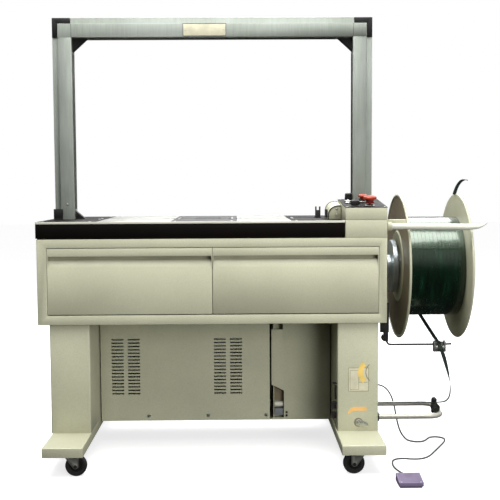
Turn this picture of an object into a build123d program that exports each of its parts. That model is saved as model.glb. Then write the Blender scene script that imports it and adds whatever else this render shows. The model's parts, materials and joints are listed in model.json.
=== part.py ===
from build123d import *
import math
import os

# A fully automatic arch strapping machine: a cabinet with a roller-free work table, an arch that
# carries the strap round the parcel, two legs on castors and a strap reel on the right-hand side.
# Millimetres, +Z up, the operator stands at -Y. Everything is modelled in the cabinet's frame
# (X = 0 and Y = 0 at the cabinet's middle, the floor at Z = FLOOR) and moved once by FRAME_SHIFT,
# so that the origin is the bottom centre of the whole machine.

# ------------------------------------------------------------------ driving dimensions
FLOOR = -3.0
HALF_LENGTH = 543.0            # cabinet, half of its length along X
HALF_DEPTH = 250.0             # table, half of its depth along Y
CABINET_BASE = 435.0
CABINET_TOP = 701.0
TABLE_TOP = 755.0
SHEET = 2.0                    # sheet steel of covers
RUNNING = 0.05                 # radial clearance of a shaft in its bore

OPENING_X = (-512.0, 518.0)    # front opening for the two doors
OPENING_Z = (464.0, 674.0)
DOOR_GAP = 1.2
DOOR_BOTTOM = 467.2
DOOR_TOP = 672.5
HINGE_Y = -243.0               # door pivot axis
HINGE_Z = 475.5
HINGE_PIN = 2.5
HINGE_PLACES = (-486.0, -34.0, 34.0, 486.0)

LEGS_X = ((-509.0, -385.0), (390.0, 518.0))
LEG_HALF_DEPTH = 240.0
FEET_X = ((-506.0, -385.0), (387.0, 518.0))
FOOT_Z = (60.5, 90.5)
FOOT_HALF_DEPTH = 402.0
FOOT_WALL = 2.5
LEG_FACE = LEGS_X[1][1]         # outer face of the right leg

WHEEL_RADIUS = 32.5
WHEEL_HALF_WIDTH = 11.0
SWIVEL_X = (-425.0, 440.0)
SWIVEL_Y = 370.0
TRAIL = 15.0
AXLE_Z = FLOOR + WHEEL_RADIUS
AXLE_RADIUS = 4.0
KINGPIN_RADIUS = 6.0

PANEL_X = (-381.5, 386.5)      # lower housing
PANEL_Y = -45.0
PANEL_Z = (77.5, 432.0)
PANEL_SPLIT = (183.5, 189.5)
TRAY_BACK = 205.0
LOUVRE_COLUMNS = (-345.0, -291.0, -3.0, 51.0)
LOUVRE_ROWS = (167.6, 11.41)   # lowest row, pitch

ARCH_INNER = 463.0             # arch, half of its clear width
ARCH_UNDERSIDE = 1352.0
ARCH_BAR = 44.0                # main bar, measured outwards
ARCH_STRIP = 21.0              # stepped-back outer strip
ARCH_BAR_HALF = 30.0
ARCH_STRIP_HALF = 15.0
ARCH_GROOVE = (3.0, 7.5)       # strap groove in the inner faces: depth, half width

STRAP_SLOT = 7.0               # half width of the slot along the table
HEAD_X = (-130.0, 75.0)
SLIDE_X = (-58.0, 18.0)
LEFT_PLATE_X = -360.0
RIGHT_PLATE_X = 246.0
PLATE_Z = (749.0, TABLE_TOP)

CONTROL_X = (412.0, 543.0)
CONTROL_Y = (-250.0, -38.0)
CONTROL_SEAM = 757.0
CONTROL_FRONT = 796.0          # height of the sloping panel at its front edge
CONTROL_REAR = 818.0
HOOD_DROP = 8.0

REEL_Z = 591.0
FLANGE_RADIUS = 242.0
COIL_RADIUS = 166.0
CORE_RADIUS = 100.0
HUB_RADIUS = 38.0
SPINDLE_RADIUS = 12.0
LEFT_FLANGE_X = (615.0, 623.0)
RIGHT_FLANGE_X = (812.0, 820.0)

DRUM_X = (590.0, 608.0)        # brake drum of the hub
DRUM_RADIUS = 88.0

ARM_Y = -90.0                  # plane of the brake arm
ARM_PIVOT = (562.0, 361.0)     # X, Z
ARM_Z = 338.0                  # level of the arm's long run
EYE_X = (724.0, 764.0)         # strap guide on the brake arm
EYE_Z = (313.0, 347.0)
EYE_BAR = (8.0, 327.0)         # radius and Z of the bar that the strap bends over

BAR_RADIUS = 8.0               # bent guide bar on the right-hand side
BAR_Z = 125.0
BAR_FRONT_Y = -200.0
BAR_REAR_Y = -28.0
BAR_END_X = 731.0
LOWER_ROLLER = (716.0, 144.0, 13.3)    # X, Z, radius
UPPER_ROLLER = (713.0, 169.3, 7.0)
ROLLER_RIM = (-172.0, -169.0, 14.0)    # rim in front of the lower roller: Y, Y, radius
ROLLER_Y = (-169.0, -151.0)
STRAP_ENTRY = (-160.0, 159.8)  # Y, Z where the strap goes into the right leg

GUARD_Y = -225.0
GUARD_Z = 735.0
GUARD_BEND = (848.0, 737.5)
GUARD_TIP = (858.0, 746.0)

SWITCH_X = (537.0, 608.0)      # foot switch
SWITCH_Y = (-513.0, -450.0)
PEDAL_AXIS = (-457.0, FLOOR + 16.0)    # Y, Z
RELIEF = (575.0, FLOOR + 5.0)  # X, Z of the strain relief at the switch

CORD_RADIUS = 2.5
GLAND = (20.0, 180.0)          # Y, Z of the foot-switch cord's gland on the right leg

FRAME_SHIFT = (-(GUARD_TIP[0] + 5.0 - 545.0) / 2, -(SWITCH_Y[0] + FOOT_HALF_DEPTH) / 2, -FLOOR)


# ------------------------------------------------------------------ helpers
def block(x, y, z):
    """Box between (low, high) pairs along X, Y and Z."""
    size = [high - low for low, high in (x, y, z)]
    centre = [(high + low) / 2 for low, high in (x, y, z)]
    return Pos(*centre) * Box(*size)


def rod(start, end, radius, bore=0.0):
    """Cylinder between two points, with an optional bore."""
    direction = Vector(*end) - Vector(*start)
    plane = Plane(origin=start, z_dir=direction)
    section = plane * Circle(radius)
    if bore:
        section = section - plane * Circle(bore)
    return extrude(section, direction.length)


def disc_x(x, centre, radius, bore=0.0):
    """Disc with its axis along X; centre is (y, z)."""
    return rod((x[0], *centre), (x[1], *centre), radius, bore)


def disc_y(y, centre, radius, bore=0.0):
    """Disc with its axis along Y; centre is (x, z)."""
    low, high = (centre[0], y[0], centre[1]), (centre[0], y[1], centre[1])
    return rod(low, high, radius, bore)


def disc_z(z, centre, radius, bore=0.0):
    """Disc with its axis along Z; centre is (x, y)."""
    return rod((*centre, z[0]), (*centre, z[1]), radius, bore)


def prism_x(outline, x):
    corners = [(x[0], y, z) for y, z in outline]
    return extrude(make_face(Polyline(*corners, close=True)), x[1] - x[0], dir=(1, 0, 0))


def prism_y(outline, y):
    corners = [(x, y[0], z) for x, z in outline]
    return extrude(make_face(Polyline(*corners, close=True)), y[1] - y[0], dir=(0, 1, 0))


def prism_z(outline, z):
    corners = [(x, y, z[0]) for x, y in outline]
    return extrude(make_face(Polyline(*corners, close=True)), z[1] - z[0], dir=(0, 0, 1))


def mirrored(shape):
    """The same piece on the other side of X = 0."""
    return mirror(shape, about=Plane.YZ)


def across(pair):
    """A (low, high) pair on the other side of zero."""
    return (-pair[1], -pair[0])


def tube_along(points, radii, radius):
    """Round tube along straight runs joined by tangent arcs."""
    path = FilletPolyline(*points, radius=radii)
    start = Plane(origin=path @ 0, z_dir=path % 0)
    return sweep(start * Circle(radius), path=path), path


def save(name, *shapes):
    solids = [solid for shape in shapes for solid in shape.solids()]
    whole = solids[0] if len(solids) == 1 else Compound(solids)
    export_step(Pos(*FRAME_SHIFT) * whole, f"parts/{name}.step")


# ------------------------------------------------------------------ cabinet
def cabinet():
    side = block((HALF_LENGTH - SHEET, HALF_LENGTH), (-245.8, 248.0), (CABINET_BASE, CABINET_TOP))
    back = block((-541.0, 541.0), (246.0, 248.0), (CABINET_BASE, CABINET_TOP))
    save("cabinet_panels", side, mirrored(side), back)

    floor = block((-540.5, 540.5), (-245.5, 245.5), (CABINET_BASE, CABINET_BASE + SHEET))
    floor -= block((190.0, 260.0), (-20.0, 10.0), (430.0, 450.0))
    save("cabinet_floor", floor)

    frame = block((-HALF_LENGTH, HALF_LENGTH), (-HALF_DEPTH, -246.0), (CABINET_BASE, CABINET_TOP))
    corners = frame.edges().filter_by(Axis.Z).group_by(Axis.Y)[0]
    frame = fillet(corners, 3.0)
    low_x, high_x = OPENING_X
    low_z, high_z = OPENING_Z
    collar = block((low_x - 2, high_x + 2), (-246.0, -232.0), (low_z - 2, high_z + 2))
    frame = frame + collar - block(OPENING_X, (-260.0, -220.0), OPENING_Z)
    save("front_frame", frame)


def door_section():
    """Sheet profile of a door: flat face, sloping ledge, finger groove and top strip."""
    front = [
        (-250.0, DOOR_BOTTOM),
        (-250.0, 611.0),
        (-239.0, 636.0),
        (-224.0, 636.0),
        (-224.0, 648.0),
        (-250.0, 648.0),
        (-250.0, DOOR_TOP),
    ]
    back = [
        (-248.0, DOOR_TOP),
        (-248.0, 650.0),
        (-222.0, 650.0),
        (-222.0, 634.0),
        (-237.7, 634.0),
        (-248.0, 610.6),
        (-248.0, DOOR_BOTTOM),
    ]
    return front + back


def door(x):
    """Drop-down front door between two X values, pivoting on pins near its lower edge."""
    ends = ((x[0], x[0] + SHEET), (x[1] - SHEET, x[1]))
    leaf = prism_x(door_section(), x)
    leaf += block(x, (-248.0, -234.0), (DOOR_TOP - SHEET, DOOR_TOP))
    for end in ends:
        leaf += block(end, (-248.0, -234.0), (DOOR_BOTTOM, DOOR_TOP))
        leaf += block(end, (-250.0, -222.0), (611.0, 650.0))
    inner = (x[0] + 14.0, x[1] - 14.0)
    flange = block(inner, (-248.0, -237.0), (DOOR_BOTTOM, DOOR_BOTTOM + SHEET))
    for place in HINGE_PLACES:
        flange -= block((place - 14.0, place + 12.0), (-248.0, -230.0), (460.0, 480.0))
    leaf += flange
    for place in HINGE_PLACES:
        if x[0] < place < x[1]:
            ear = disc_x((place - 6.0, place - 1.0), (HINGE_Y, HINGE_Z), 6.0)
            ear += block((place - 6.0, place - 1.0), (-248.0, HINGE_Y), (469.5, 481.5))
            bore = disc_x((place - 7.0, place), (HINGE_Y, HINGE_Z), HINGE_PIN + RUNNING)
            leaf += ear - bore
    return leaf


def doors():
    save("left_door", door((OPENING_X[0] + DOOR_GAP, -0.8)))
    save("right_door", door((0.8, OPENING_X[1] - DOOR_GAP)))
    brackets = []
    for place in HINGE_PLACES:
        wide = (place, place + 4.0)
        bracket = disc_x(wide, (HINGE_Y, HINGE_Z), 4.5)
        bracket += block(wide, (HINGE_Y, -219.0), (HINGE_Z - 4.0, HINGE_Z + 4.0))
        bracket += block(wide, (-229.0, -219.0), (CABINET_BASE + SHEET, HINGE_Z + 4.0))
        bracket += disc_x((place - 7.5, place), (HINGE_Y, HINGE_Z), HINGE_PIN)
        brackets.append(bracket)
    save("door_hinges", *brackets)


# ------------------------------------------------------------------ legs, feet and castors
def legs_and_feet():
    depth = (-LEG_HALF_DEPTH, LEG_HALF_DEPTH)
    legs = []
    for low, high in LEGS_X:
        leg = block((low, high), depth, (FOOT_Z[1], CABINET_BASE))
        leg = fillet(leg.edges().filter_by(Axis.Z), 4.0)
        legs.append(leg - block((low + 3, high - 3), (depth[0] + 3, depth[1] - 3), (80.0, 450.0)))
    save("legs", *legs)

    length = (-FOOT_HALF_DEPTH, FOOT_HALF_DEPTH)
    hollow_y = (length[0] + FOOT_WALL, length[1] - FOOT_WALL)
    hollow_z = (FOOT_Z[0] - 10, FOOT_Z[1] - FOOT_WALL)
    feet = []
    for low, high in FEET_X:
        foot = block((low, high), length, FOOT_Z)
        foot = fillet(foot.edges().group_by(Axis.Z)[-1], 3.0)
        feet.append(foot - block((low + FOOT_WALL, high - FOOT_WALL), hollow_y, hollow_z))
    save("feet", *feet)


def castor_plate(x, y):
    """Bolted top plate with the kingpin that the fork swivels on."""
    top = FOOT_Z[1] - FOOT_WALL
    plate = block((x - 30, x + 30), (y - 26, y + 26), (top - 3.0, top))
    plate = fillet(plate.edges().filter_by(Axis.Z), 5.0)
    plate += disc_z((67.0, top - 3.0), (x, y), KINGPIN_RADIUS)
    plate += disc_z((65.0, 67.0), (x, y), KINGPIN_RADIUS + 3.0)
    return plate


def castor_fork(x, y, side):
    """Fork that trails towards the machine's middle; side is +1 on the right."""
    axle_x = x - side * TRAIL
    head = disc_z((67.5, 84.5), (x, y), 22.0, KINGPIN_RADIUS + RUNNING)
    crown = block((x - 22, x + 22), (y - 15, y + 15), (67.5, 70.5))
    crown -= disc_z((60.0, 75.0), (x, y), KINGPIN_RADIUS + RUNNING)
    fork = head + crown
    cheek = [
        (x + side * 20, 70.5),
        (x + side * 20, 62.0),
        (axle_x + side * 7, AXLE_Z - 6.5),
        (axle_x - side * 2, AXLE_Z - 8.5),
        (axle_x - side * 9, AXLE_Z - 3.0),
        (axle_x - side * 9, 62.0),
        (x - side * 20, 70.5),
    ]
    for low, high in ((-15.0, -12.5), (12.5, 15.0)):
        fork += prism_y(cheek, (y + low, y + high))
    axle = disc_y((y - 18.5, y + 18.5), (axle_x, AXLE_Z), AXLE_RADIUS)
    for low, high in ((-19.5, -15.0), (15.0, 19.5)):
        axle += disc_y((y + low, y + high), (axle_x, AXLE_Z), 6.5)
    return fork + axle


def castor_wheel(x, y, side):
    axle_x = x - side * TRAIL
    span = (y - WHEEL_HALF_WIDTH, y + WHEEL_HALF_WIDTH)
    tyre = disc_y(span, (axle_x, AXLE_Z), WHEEL_RADIUS)
    tyre = fillet(tyre.edges().filter_by(GeomType.CIRCLE), 3.0)
    return tyre - disc_y(span, (axle_x, AXLE_Z), AXLE_RADIUS + RUNNING)


def castors():
    plates = []
    for row, y in (("front", -SWIVEL_Y), ("rear", SWIVEL_Y)):
        for hand, side, x in (("left", -1, SWIVEL_X[0]), ("right", 1, SWIVEL_X[1])):
            plates.append(castor_plate(x, y))
            save(f"caster_fork_{row}_{hand}", castor_fork(x, y, side))
            save(f"caster_wheel_{row}_{hand}", castor_wheel(x, y, side))
    save("caster_plates", *plates)


# ------------------------------------------------------------------ lower housing
def lower_housing():
    louvred = block((PANEL_X[0], PANEL_SPLIT[0]), (PANEL_Y, PANEL_Y + SHEET), PANEL_Z)
    slots = []
    through = (PANEL_Y - 1, PANEL_Y + 3)
    lowest, pitch = LOUVRE_ROWS
    for column in LOUVRE_COLUMNS:
        for row in range(17):
            z = lowest + pitch * row
            slots.append(block((column, column + 40.0), through, (z, z + 5.0)))
    save("louvred_panel", louvred - slots)

    window = [(185.0, 84.0), (231.0, 84.0), (231.0, 176.0), (191.0, 196.0), (185.0, 196.0)]
    pool = block((PANEL_SPLIT[1], PANEL_X[1]), (PANEL_Y, PANEL_Y + SHEET), PANEL_Z)
    pool -= prism_y(window, through)
    pool -= block((185.0, 228.0), through, (384.0, 440.0))
    save("pool_panel", pool)

    tray = block(PANEL_X, (PANEL_Y + 3, TRAY_BACK), (PANEL_Z[0], PANEL_Z[0] + SHEET))
    back = block(PANEL_X, (TRAY_BACK, TRAY_BACK + SHEET), PANEL_Z)
    save("base_tray", tray + back)

    box_x, box_z = (196.0, 380.0), (80.0, 430.0)
    box = block(box_x, (-40.0, -14.0), box_z)
    box -= block((198.0, 378.0), (-41.0, -16.0), (82.0, 428.0))
    save("strap_pool_box", box)

    electrics = block((-340.0, 70.0), (20.0, 190.0), (120.0, 400.0))
    save("electrical_box", fillet(electrics.edges().filter_by(Axis.Z), 3.0))


# ------------------------------------------------------------------ table
def table():
    skirt = (704.0, 748.5)
    front = block((-545.0, CONTROL_X[0] - 1), (-250.0, -246.0), skirt)
    back = block((-545.0, 545.0), (246.0, 250.0), skirt)
    left = block((-545.0, -541.0), (-245.5, 245.5), skirt)
    right = block((541.0, 545.0), (-36.0, 245.5), skirt)
    lip_front = block((-541.0, CONTROL_X[0] - 1), (-245.8, -243.0), (701.0, 704.0))
    lip_back = block((-541.0, 541.0), (243.0, 245.8), (701.0, 704.0))
    slot = (-STRAP_SLOT, STRAP_SLOT)
    left_end = block((-545.0, LEFT_PLATE_X - 1), (-250.0, 250.0), PLATE_Z)
    left_end -= block((-ARCH_INNER, LEFT_PLATE_X), slot, (740.0, 760.0))
    right_end = block((RIGHT_PLATE_X + 1, 411.0), (-250.0, 250.0), PLATE_Z)
    right_end += block((411.0, 545.0), (-36.0, 250.0), PLATE_Z)
    right_end -= block((RIGHT_PLATE_X, ARCH_INNER), slot, (740.0, 760.0))
    front += lip_front
    back += lip_back
    save("table_frame", front, back, left, right, left_end, right_end)

    plates = []
    for span in ((LEFT_PLATE_X, HEAD_X[0] - 1), (HEAD_X[1] + 1, RIGHT_PLATE_X)):
        plates.append(block(span, (-HALF_DEPTH, -STRAP_SLOT), PLATE_Z))
        plates.append(block(span, (STRAP_SLOT, HALF_DEPTH), PLATE_Z))
    save("table_plates", *plates)

    covers = [
        block(HEAD_X, (-HALF_DEPTH, -61.0), PLATE_Z),
        block(HEAD_X, (61.0, HALF_DEPTH), PLATE_Z),
    ]
    for span in ((HEAD_X[0], SLIDE_X[0] - 2), (SLIDE_X[1] + 2, HEAD_X[1])):
        covers.append(block(span, (-60.0, -STRAP_SLOT), PLATE_Z))
        covers.append(block(span, (STRAP_SLOT, 60.0), PLATE_Z))
    save("head_cover_plates", *covers)

    fork_z, tip_z = 781.0, 793.0
    prongs = block((341.0, 359.0), (9.0, 13.0), (TABLE_TOP, fork_z))
    prongs += block((341.0, 346.0), (9.0, 13.0), (fork_z, tip_z))
    prongs += block((354.0, 359.0), (9.0, 13.0), (fork_z, tip_z))
    prongs += block((338.0, 362.0), (9.0, 30.0), (TABLE_TOP, TABLE_TOP + 3.0))
    save("start_switch", prongs)


# ------------------------------------------------------------------ strapping head
def strapping_head():
    slide = block((SLIDE_X[0], SLIDE_X[1]), (-38.0, 38.0), (746.0, 754.6))
    slide -= block((SLIDE_X[0], SLIDE_X[1]), (-1.2, 1.2), (752.0, 760.0))
    slide += block((SLIDE_X[0] + 10, SLIDE_X[1] - 10), (-36.0, 36.0), (738.0, 746.0))
    save("anvil_slide", slide)

    shaft_z = 660.0
    casting = block((-125.0, -113.0), (-55.0, 55.0), (600.0, 735.0))
    casting += block((62.0, 74.0), (-55.0, 55.0), (600.0, 735.0))
    casting += block((-125.0, 74.0), (-55.0, 55.0), (588.0, 602.0))
    casting += block((-113.0, 62.0), (-55.0, -43.0), (602.0, 735.0))
    for x in (-125.0, 62.0):
        casting -= disc_x((x - 1, x + 13), (0.0, shaft_z), SPINDLE_RADIUS + RUNNING)
    floor = CABINET_BASE + SHEET
    stand = block((-120.0, -60.0), (-50.0, 50.0), (floor, 588.0))
    stand += block((10.0, 70.0), (-50.0, 50.0), (floor, 588.0))
    feeder = block((120.0, 215.0), (34.0, 42.0), (floor, 600.0))
    feeder += disc_y((-14.0, 34.0), (170.0, 520.0), 6.0)
    feeder += disc_y((-14.0, 34.0), (170.0, 572.6), 6.0)
    save("head_frame", casting + stand, feeder)

    shaft = disc_x((-135.0, 96.0), (0.0, shaft_z), SPINDLE_RADIUS)
    for number, x in enumerate((-95.0, -70.0, -45.0, -10.0, 15.0, 40.0)):
        turn = math.radians(60 * number)
        lobe = (8.0 * math.cos(turn), shaft_z + 8.0 * math.sin(turn))
        shaft += disc_x((x, x + 9.0), lobe, 26.0)
    save("cam_shaft", shaft)

    gearbox = block((84.0, 132.0), (-36.0, 36.0), (622.0, 702.0))
    gearbox = fillet(gearbox.edges().filter_by(Axis.X), 6.0)
    gearbox -= disc_x((80.0, 98.0), (0.0, shaft_z), SPINDLE_RADIUS + RUNNING)
    motor = disc_x((132.0, 262.0), (0.0, shaft_z), 44.0)
    pedestal = block((100.0, 118.0), (-30.0, 30.0), (614.0, 622.5))
    save("drive_motor", gearbox + motor + pedestal)

    save("feed_roller", disc_y((-12.0, 12.0), (170.0, 520.0), 30.0, 6.0 + RUNNING))
    save("pinch_roller", disc_y((-12.0, 12.0), (170.0, 572.6), 22.0, 6.0 + RUNNING))


# ------------------------------------------------------------------ arch
def arch_section(side):
    """Bar with a strap groove in its inner face and a stepped-back outer strip, in (x, y)."""
    depth, groove = ARCH_GROOVE
    bar_end = ARCH_INNER + ARCH_BAR
    strip_end = bar_end + ARCH_STRIP
    half = [
        (ARCH_INNER + depth, groove),
        (ARCH_INNER, groove),
        (ARCH_INNER, ARCH_BAR_HALF),
        (bar_end, ARCH_BAR_HALF),
        (bar_end, ARCH_STRIP_HALF),
        (strip_end, ARCH_STRIP_HALF),
    ]
    outline = half + [(x, -y) for x, y in reversed(half)]
    return [(side * x, y) for x, y in outline]


def arch():
    posts = [prism_z(arch_section(side), (TABLE_TOP, ARCH_UNDERSIDE)) for side in (-1, 1)]
    lift = ARCH_UNDERSIDE - ARCH_INNER
    bar_end = ARCH_INNER + ARCH_BAR
    strip_end = bar_end + ARCH_STRIP
    top = bar_end + lift
    corner = 60.0
    beam = block((-bar_end, bar_end), (-ARCH_BAR_HALF, ARCH_BAR_HALF), (ARCH_UNDERSIDE, top))
    groove = (-ARCH_GROOVE[1], ARCH_GROOVE[1])
    beam -= block((-ARCH_INNER, ARCH_INNER), groove, (1340.0, ARCH_UNDERSIDE + ARCH_GROOVE[0]))
    strip = (-ARCH_STRIP_HALF, ARCH_STRIP_HALF)
    strip_x = (corner - strip_end, strip_end - corner)
    beam += block(strip_x, strip, (top, top + ARCH_STRIP))
    save("arch_frame", *posts, beam)

    cover = (-ARCH_STRIP_HALF - 2.0, ARCH_STRIP_HALF + 2.0)
    elbow = block((strip_end - corner, strip_end), cover, (top, top + ARCH_STRIP))
    elbow += block((bar_end, strip_end), cover, (ARCH_UNDERSIDE, top + ARCH_STRIP))
    gusset = prism_y(
        [
            (ARCH_INNER, ARCH_UNDERSIDE),
            (ARCH_INNER - 50.0, ARCH_UNDERSIDE),
            (ARCH_INNER, ARCH_UNDERSIDE - 45.0),
        ],
        (-12.0, 12.0),
    )
    toe = prism_y(
        [
            (ARCH_INNER, TABLE_TOP),
            (ARCH_INNER - 35.0, TABLE_TOP),
            (ARCH_INNER, TABLE_TOP + 30.0),
        ],
        (-12.0, 12.0),
    )
    base = block((500.0, 530.0), (-37.0, -30.0), (TABLE_TOP, TABLE_TOP + 35.0))
    pieces = [elbow, gusset, toe]
    save("arch_guides", *pieces, *[mirrored(piece) for piece in pieces], mirrored(base))


# ------------------------------------------------------------------ controls
def panel_height(y):
    slope = (CONTROL_REAR - CONTROL_FRONT) / (CONTROL_Y[1] - CONTROL_Y[0])
    return CONTROL_FRONT + slope * (y - CONTROL_Y[0])


def panel_place(x, y):
    """Frame on the sloping panel's upper face, with +Z along its normal."""
    rise = CONTROL_REAR - CONTROL_FRONT
    run = CONTROL_Y[1] - CONTROL_Y[0]
    return Plane(origin=(x, y, panel_height(y)), x_dir=(1, 0, 0), z_dir=(0, -rise, run)).location


def stud(radius, low, high, bore=0.0):
    return rod((0, 0, low), (0, 0, high), radius, bore)


CONTROLS = {
    "stop_button": (494.0, -208.0),
    "reset_button": (486.0, -105.0),
    "timer_knob": (447.0, -212.0),
    "selector_knob": (443.0, -80.0),
    "indicator_lamp": (432.0, -150.0),
}
STEM = 5.0


def controls():
    lower = block(CONTROL_X, CONTROL_Y, (701.2, CONTROL_SEAM - 0.8))
    lower = fillet(lower.edges().filter_by(Axis.Z).group_by(Axis.Y)[0], 3.0)
    outline = [
        (CONTROL_Y[0], CONTROL_SEAM),
        (CONTROL_Y[1], CONTROL_SEAM),
        (CONTROL_Y[1], CONTROL_REAR - SHEET),
        (CONTROL_Y[0], CONTROL_FRONT - SHEET),
    ]
    inside = [
        (CONTROL_Y[0] + 3, CONTROL_SEAM + 3),
        (CONTROL_Y[1] - 3, CONTROL_SEAM + 3),
        (CONTROL_Y[1] - 3, CONTROL_REAR + 10),
        (CONTROL_Y[0] + 3, CONTROL_REAR + 10),
    ]
    housing = prism_x(outline, CONTROL_X)
    housing = fillet(housing.edges().filter_by(Axis.Z).group_by(Axis.Y)[0], 4.0)
    housing -= prism_x(inside, (CONTROL_X[0] + 3, CONTROL_X[1] - 3))
    save("control_box", lower, housing)

    face = [
        (CONTROL_Y[0], CONTROL_FRONT - SHEET),
        (CONTROL_Y[1], CONTROL_REAR - SHEET),
        (CONTROL_Y[1], CONTROL_REAR),
        (CONTROL_Y[0], CONTROL_FRONT),
    ]
    panel = prism_x(face, CONTROL_X)
    collars = []
    for name, (x, y) in CONTROLS.items():
        place = panel_place(x, y)
        panel -= place * stud(STEM + RUNNING, -10.0, 10.0)
        if name != "indicator_lamp":
            collars.append(place * stud(11.0, 0.0, 3.0, STEM + RUNNING))
    for collar in collars:
        panel += collar
    save("control_panel", panel)

    stem = stud(STEM, -14.0, 8.0)
    cap = stud(20.5, 20.0, 32.0)
    cap = fillet(cap.edges().filter_by(GeomType.CIRCLE), 5.0)
    neck = stud(14.0, 8.0, 21.0)
    save("stop_button", panel_place(*CONTROLS["stop_button"]) * (stem + neck + cap))
    cap = fillet(stud(15.0, 15.0, 25.0).edges().filter_by(GeomType.CIRCLE), 4.0)
    neck = stud(10.0, 8.0, 16.0)
    save("reset_button", panel_place(*CONTROLS["reset_button"]) * (stem + neck + cap))
    knob = stud(15.0, 3.6, 19.0)
    knob = fillet(knob.edges().filter_by(GeomType.CIRCLE).group_by(Axis.Z)[-1], 6.0)
    save("timer_knob", panel_place(*CONTROLS["timer_knob"]) * (stud(STEM, -14.0, 4.0) + knob))
    knob = stud(13.0, 3.6, 22.0)
    knob = chamfer(knob.edges().filter_by(GeomType.CIRCLE).group_by(Axis.Z)[-1], 1.5)
    knob += block((-2.0, 2.0), (-12.0, 12.0), (21.0, 25.0))
    save("selector_knob", panel_place(*CONTROLS["selector_knob"]) * (stud(STEM, -14.0, 4.0) + knob))
    lamp = stud(STEM, -12.0, 0.0) + stud(6.5, 0.0, 5.0) + Pos(0, 0, 5.0) * Sphere(6.5)
    save("indicator_lamp", panel_place(*CONTROLS["indicator_lamp"]) * (lamp - stud(20, -30, -12)))


def chute_hood():
    """Rounded cover over the strap chute, left of the control box and sloping like its panel."""
    left, right, front, length, round_radius = 370.0, 411.0, -150.0, 110.0, 30.0
    top = panel_height(front) - HOOD_DROP
    base = TABLE_TOP - 20.0
    sketch = Polyline((left, top - round_radius), (left, base), (right, base), (right, top))
    sketch += Line((right, top), (left + round_radius, top))
    sketch += CenterArc((left + round_radius, top - round_radius), round_radius, 90, 90)
    face = make_face(Plane.XZ * sketch)
    rise = CONTROL_REAR - CONTROL_FRONT
    run = CONTROL_Y[1] - CONTROL_Y[0]
    hood = Pos(0, front, 0) * extrude(face, length, dir=(0, run, rise))
    save("chute_hood", hood - block((left - 5, right + 5), (-160.0, 0.0), (base - 5, TABLE_TOP)))


# ------------------------------------------------------------------ reel and brake
def reel():
    axis = (0.0, REEL_Z)
    spindle = disc_x((HALF_LENGTH, 551.0), axis, 62.0)
    spindle += disc_x((551.0, 576.0), axis, 34.0)
    spindle += disc_x((576.0, 844.0), axis, SPINDLE_RADIUS)
    save("reel_spindle", spindle)

    hub = disc_x((579.0, 832.0), axis, HUB_RADIUS)
    hub += disc_x(DRUM_X, axis, DRUM_RADIUS)
    hub -= disc_x((570.0, 840.0), axis, SPINDLE_RADIUS + RUNNING)
    save("reel_hub", hub)

    flanges = []
    for span in (LEFT_FLANGE_X, RIGHT_FLANGE_X):
        flange = disc_x(span, axis, FLANGE_RADIUS)
        flange = fillet(flange.edges().filter_by(GeomType.CIRCLE), 3.0)
        flanges.append(flange - disc_x(span, axis, HUB_RADIUS))
    core = disc_x((LEFT_FLANGE_X[1], RIGHT_FLANGE_X[0]), axis, CORE_RADIUS, CORE_RADIUS - 6.0)
    save("strap_reel", *flanges, core)

    coil_x = (LEFT_FLANGE_X[1] + 1.0, RIGHT_FLANGE_X[0] - 1.0)
    save("strap_coil", disc_x(coil_x, axis, COIL_RADIUS, CORE_RADIUS))

    nut = disc_x((820.0, 832.0), axis, 52.0, HUB_RADIUS)
    for spoke in range(3):
        turn = math.radians(120 * spoke + 30)
        centre = (46.0 * math.cos(turn), REEL_Z + 46.0 * math.sin(turn))
        nut += disc_x((820.0, 832.0), centre, 16.0) - disc_x((815.0, 835.0), axis, HUB_RADIUS)
    save("reel_nut", nut)


def brake():
    pivot_x, pivot_z = ARM_PIVOT
    bracket_y = (ARM_Y - 26.0, ARM_Y - 20.0)
    bracket = block((543.0, 546.0), (ARM_Y - 26.0, ARM_Y + 22.0), (440.0, 500.0))
    bracket += block((543.0, pivot_x + 10.0), bracket_y, (383.0, 480.0))
    bracket += block((pivot_x - 8.0, pivot_x + 8.0), bracket_y, (pivot_z - 8.0, 384.0))
    bracket += disc_y((ARM_Y - 20.0, ARM_Y + 12.0), ARM_PIVOT, AXLE_RADIUS)
    save("brake_bracket", bracket)

    route = [
        (pivot_x + 3.0, ARM_Y, pivot_z - 5.0),
        (pivot_x + 14.0, ARM_Y, ARM_Z),
        (EYE_X[0] + 2.0, ARM_Y, ARM_Z),
    ]
    arm, _ = tube_along(route, [14.0], 3.2)
    arm += disc_y((ARM_Y - 9.0, ARM_Y + 9.0), ARM_PIVOT, 11.0)
    arm -= disc_y((ARM_Y - 12.0, ARM_Y + 12.0), ARM_PIVOT, AXLE_RADIUS + RUNNING)
    bar_radius, bar_z = EYE_BAR
    for x in ((EYE_X[0], EYE_X[0] + 5.0), (EYE_X[1] - 5.0, EYE_X[1])):
        cheek = block(x, (ARM_Y - 7.0, ARM_Y + 12.0), EYE_Z)
        arm += fillet(cheek.edges().filter_by(Axis.X), 4.0)
    arm += block(EYE_X, (ARM_Y - 6.0, ARM_Y + 11.0), (EYE_Z[0], EYE_Z[0] + 5.0))
    arm += disc_x((EYE_X[0] + 2.0, EYE_X[1] - 2.0), (ARM_Y, bar_z), bar_radius)
    arm += rod((EYE_X[1] - 2.0, ARM_Y, ARM_Z), (782.0, ARM_Y, ARM_Z + 1.0), 3.2)
    save("brake_arm", arm)


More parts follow.
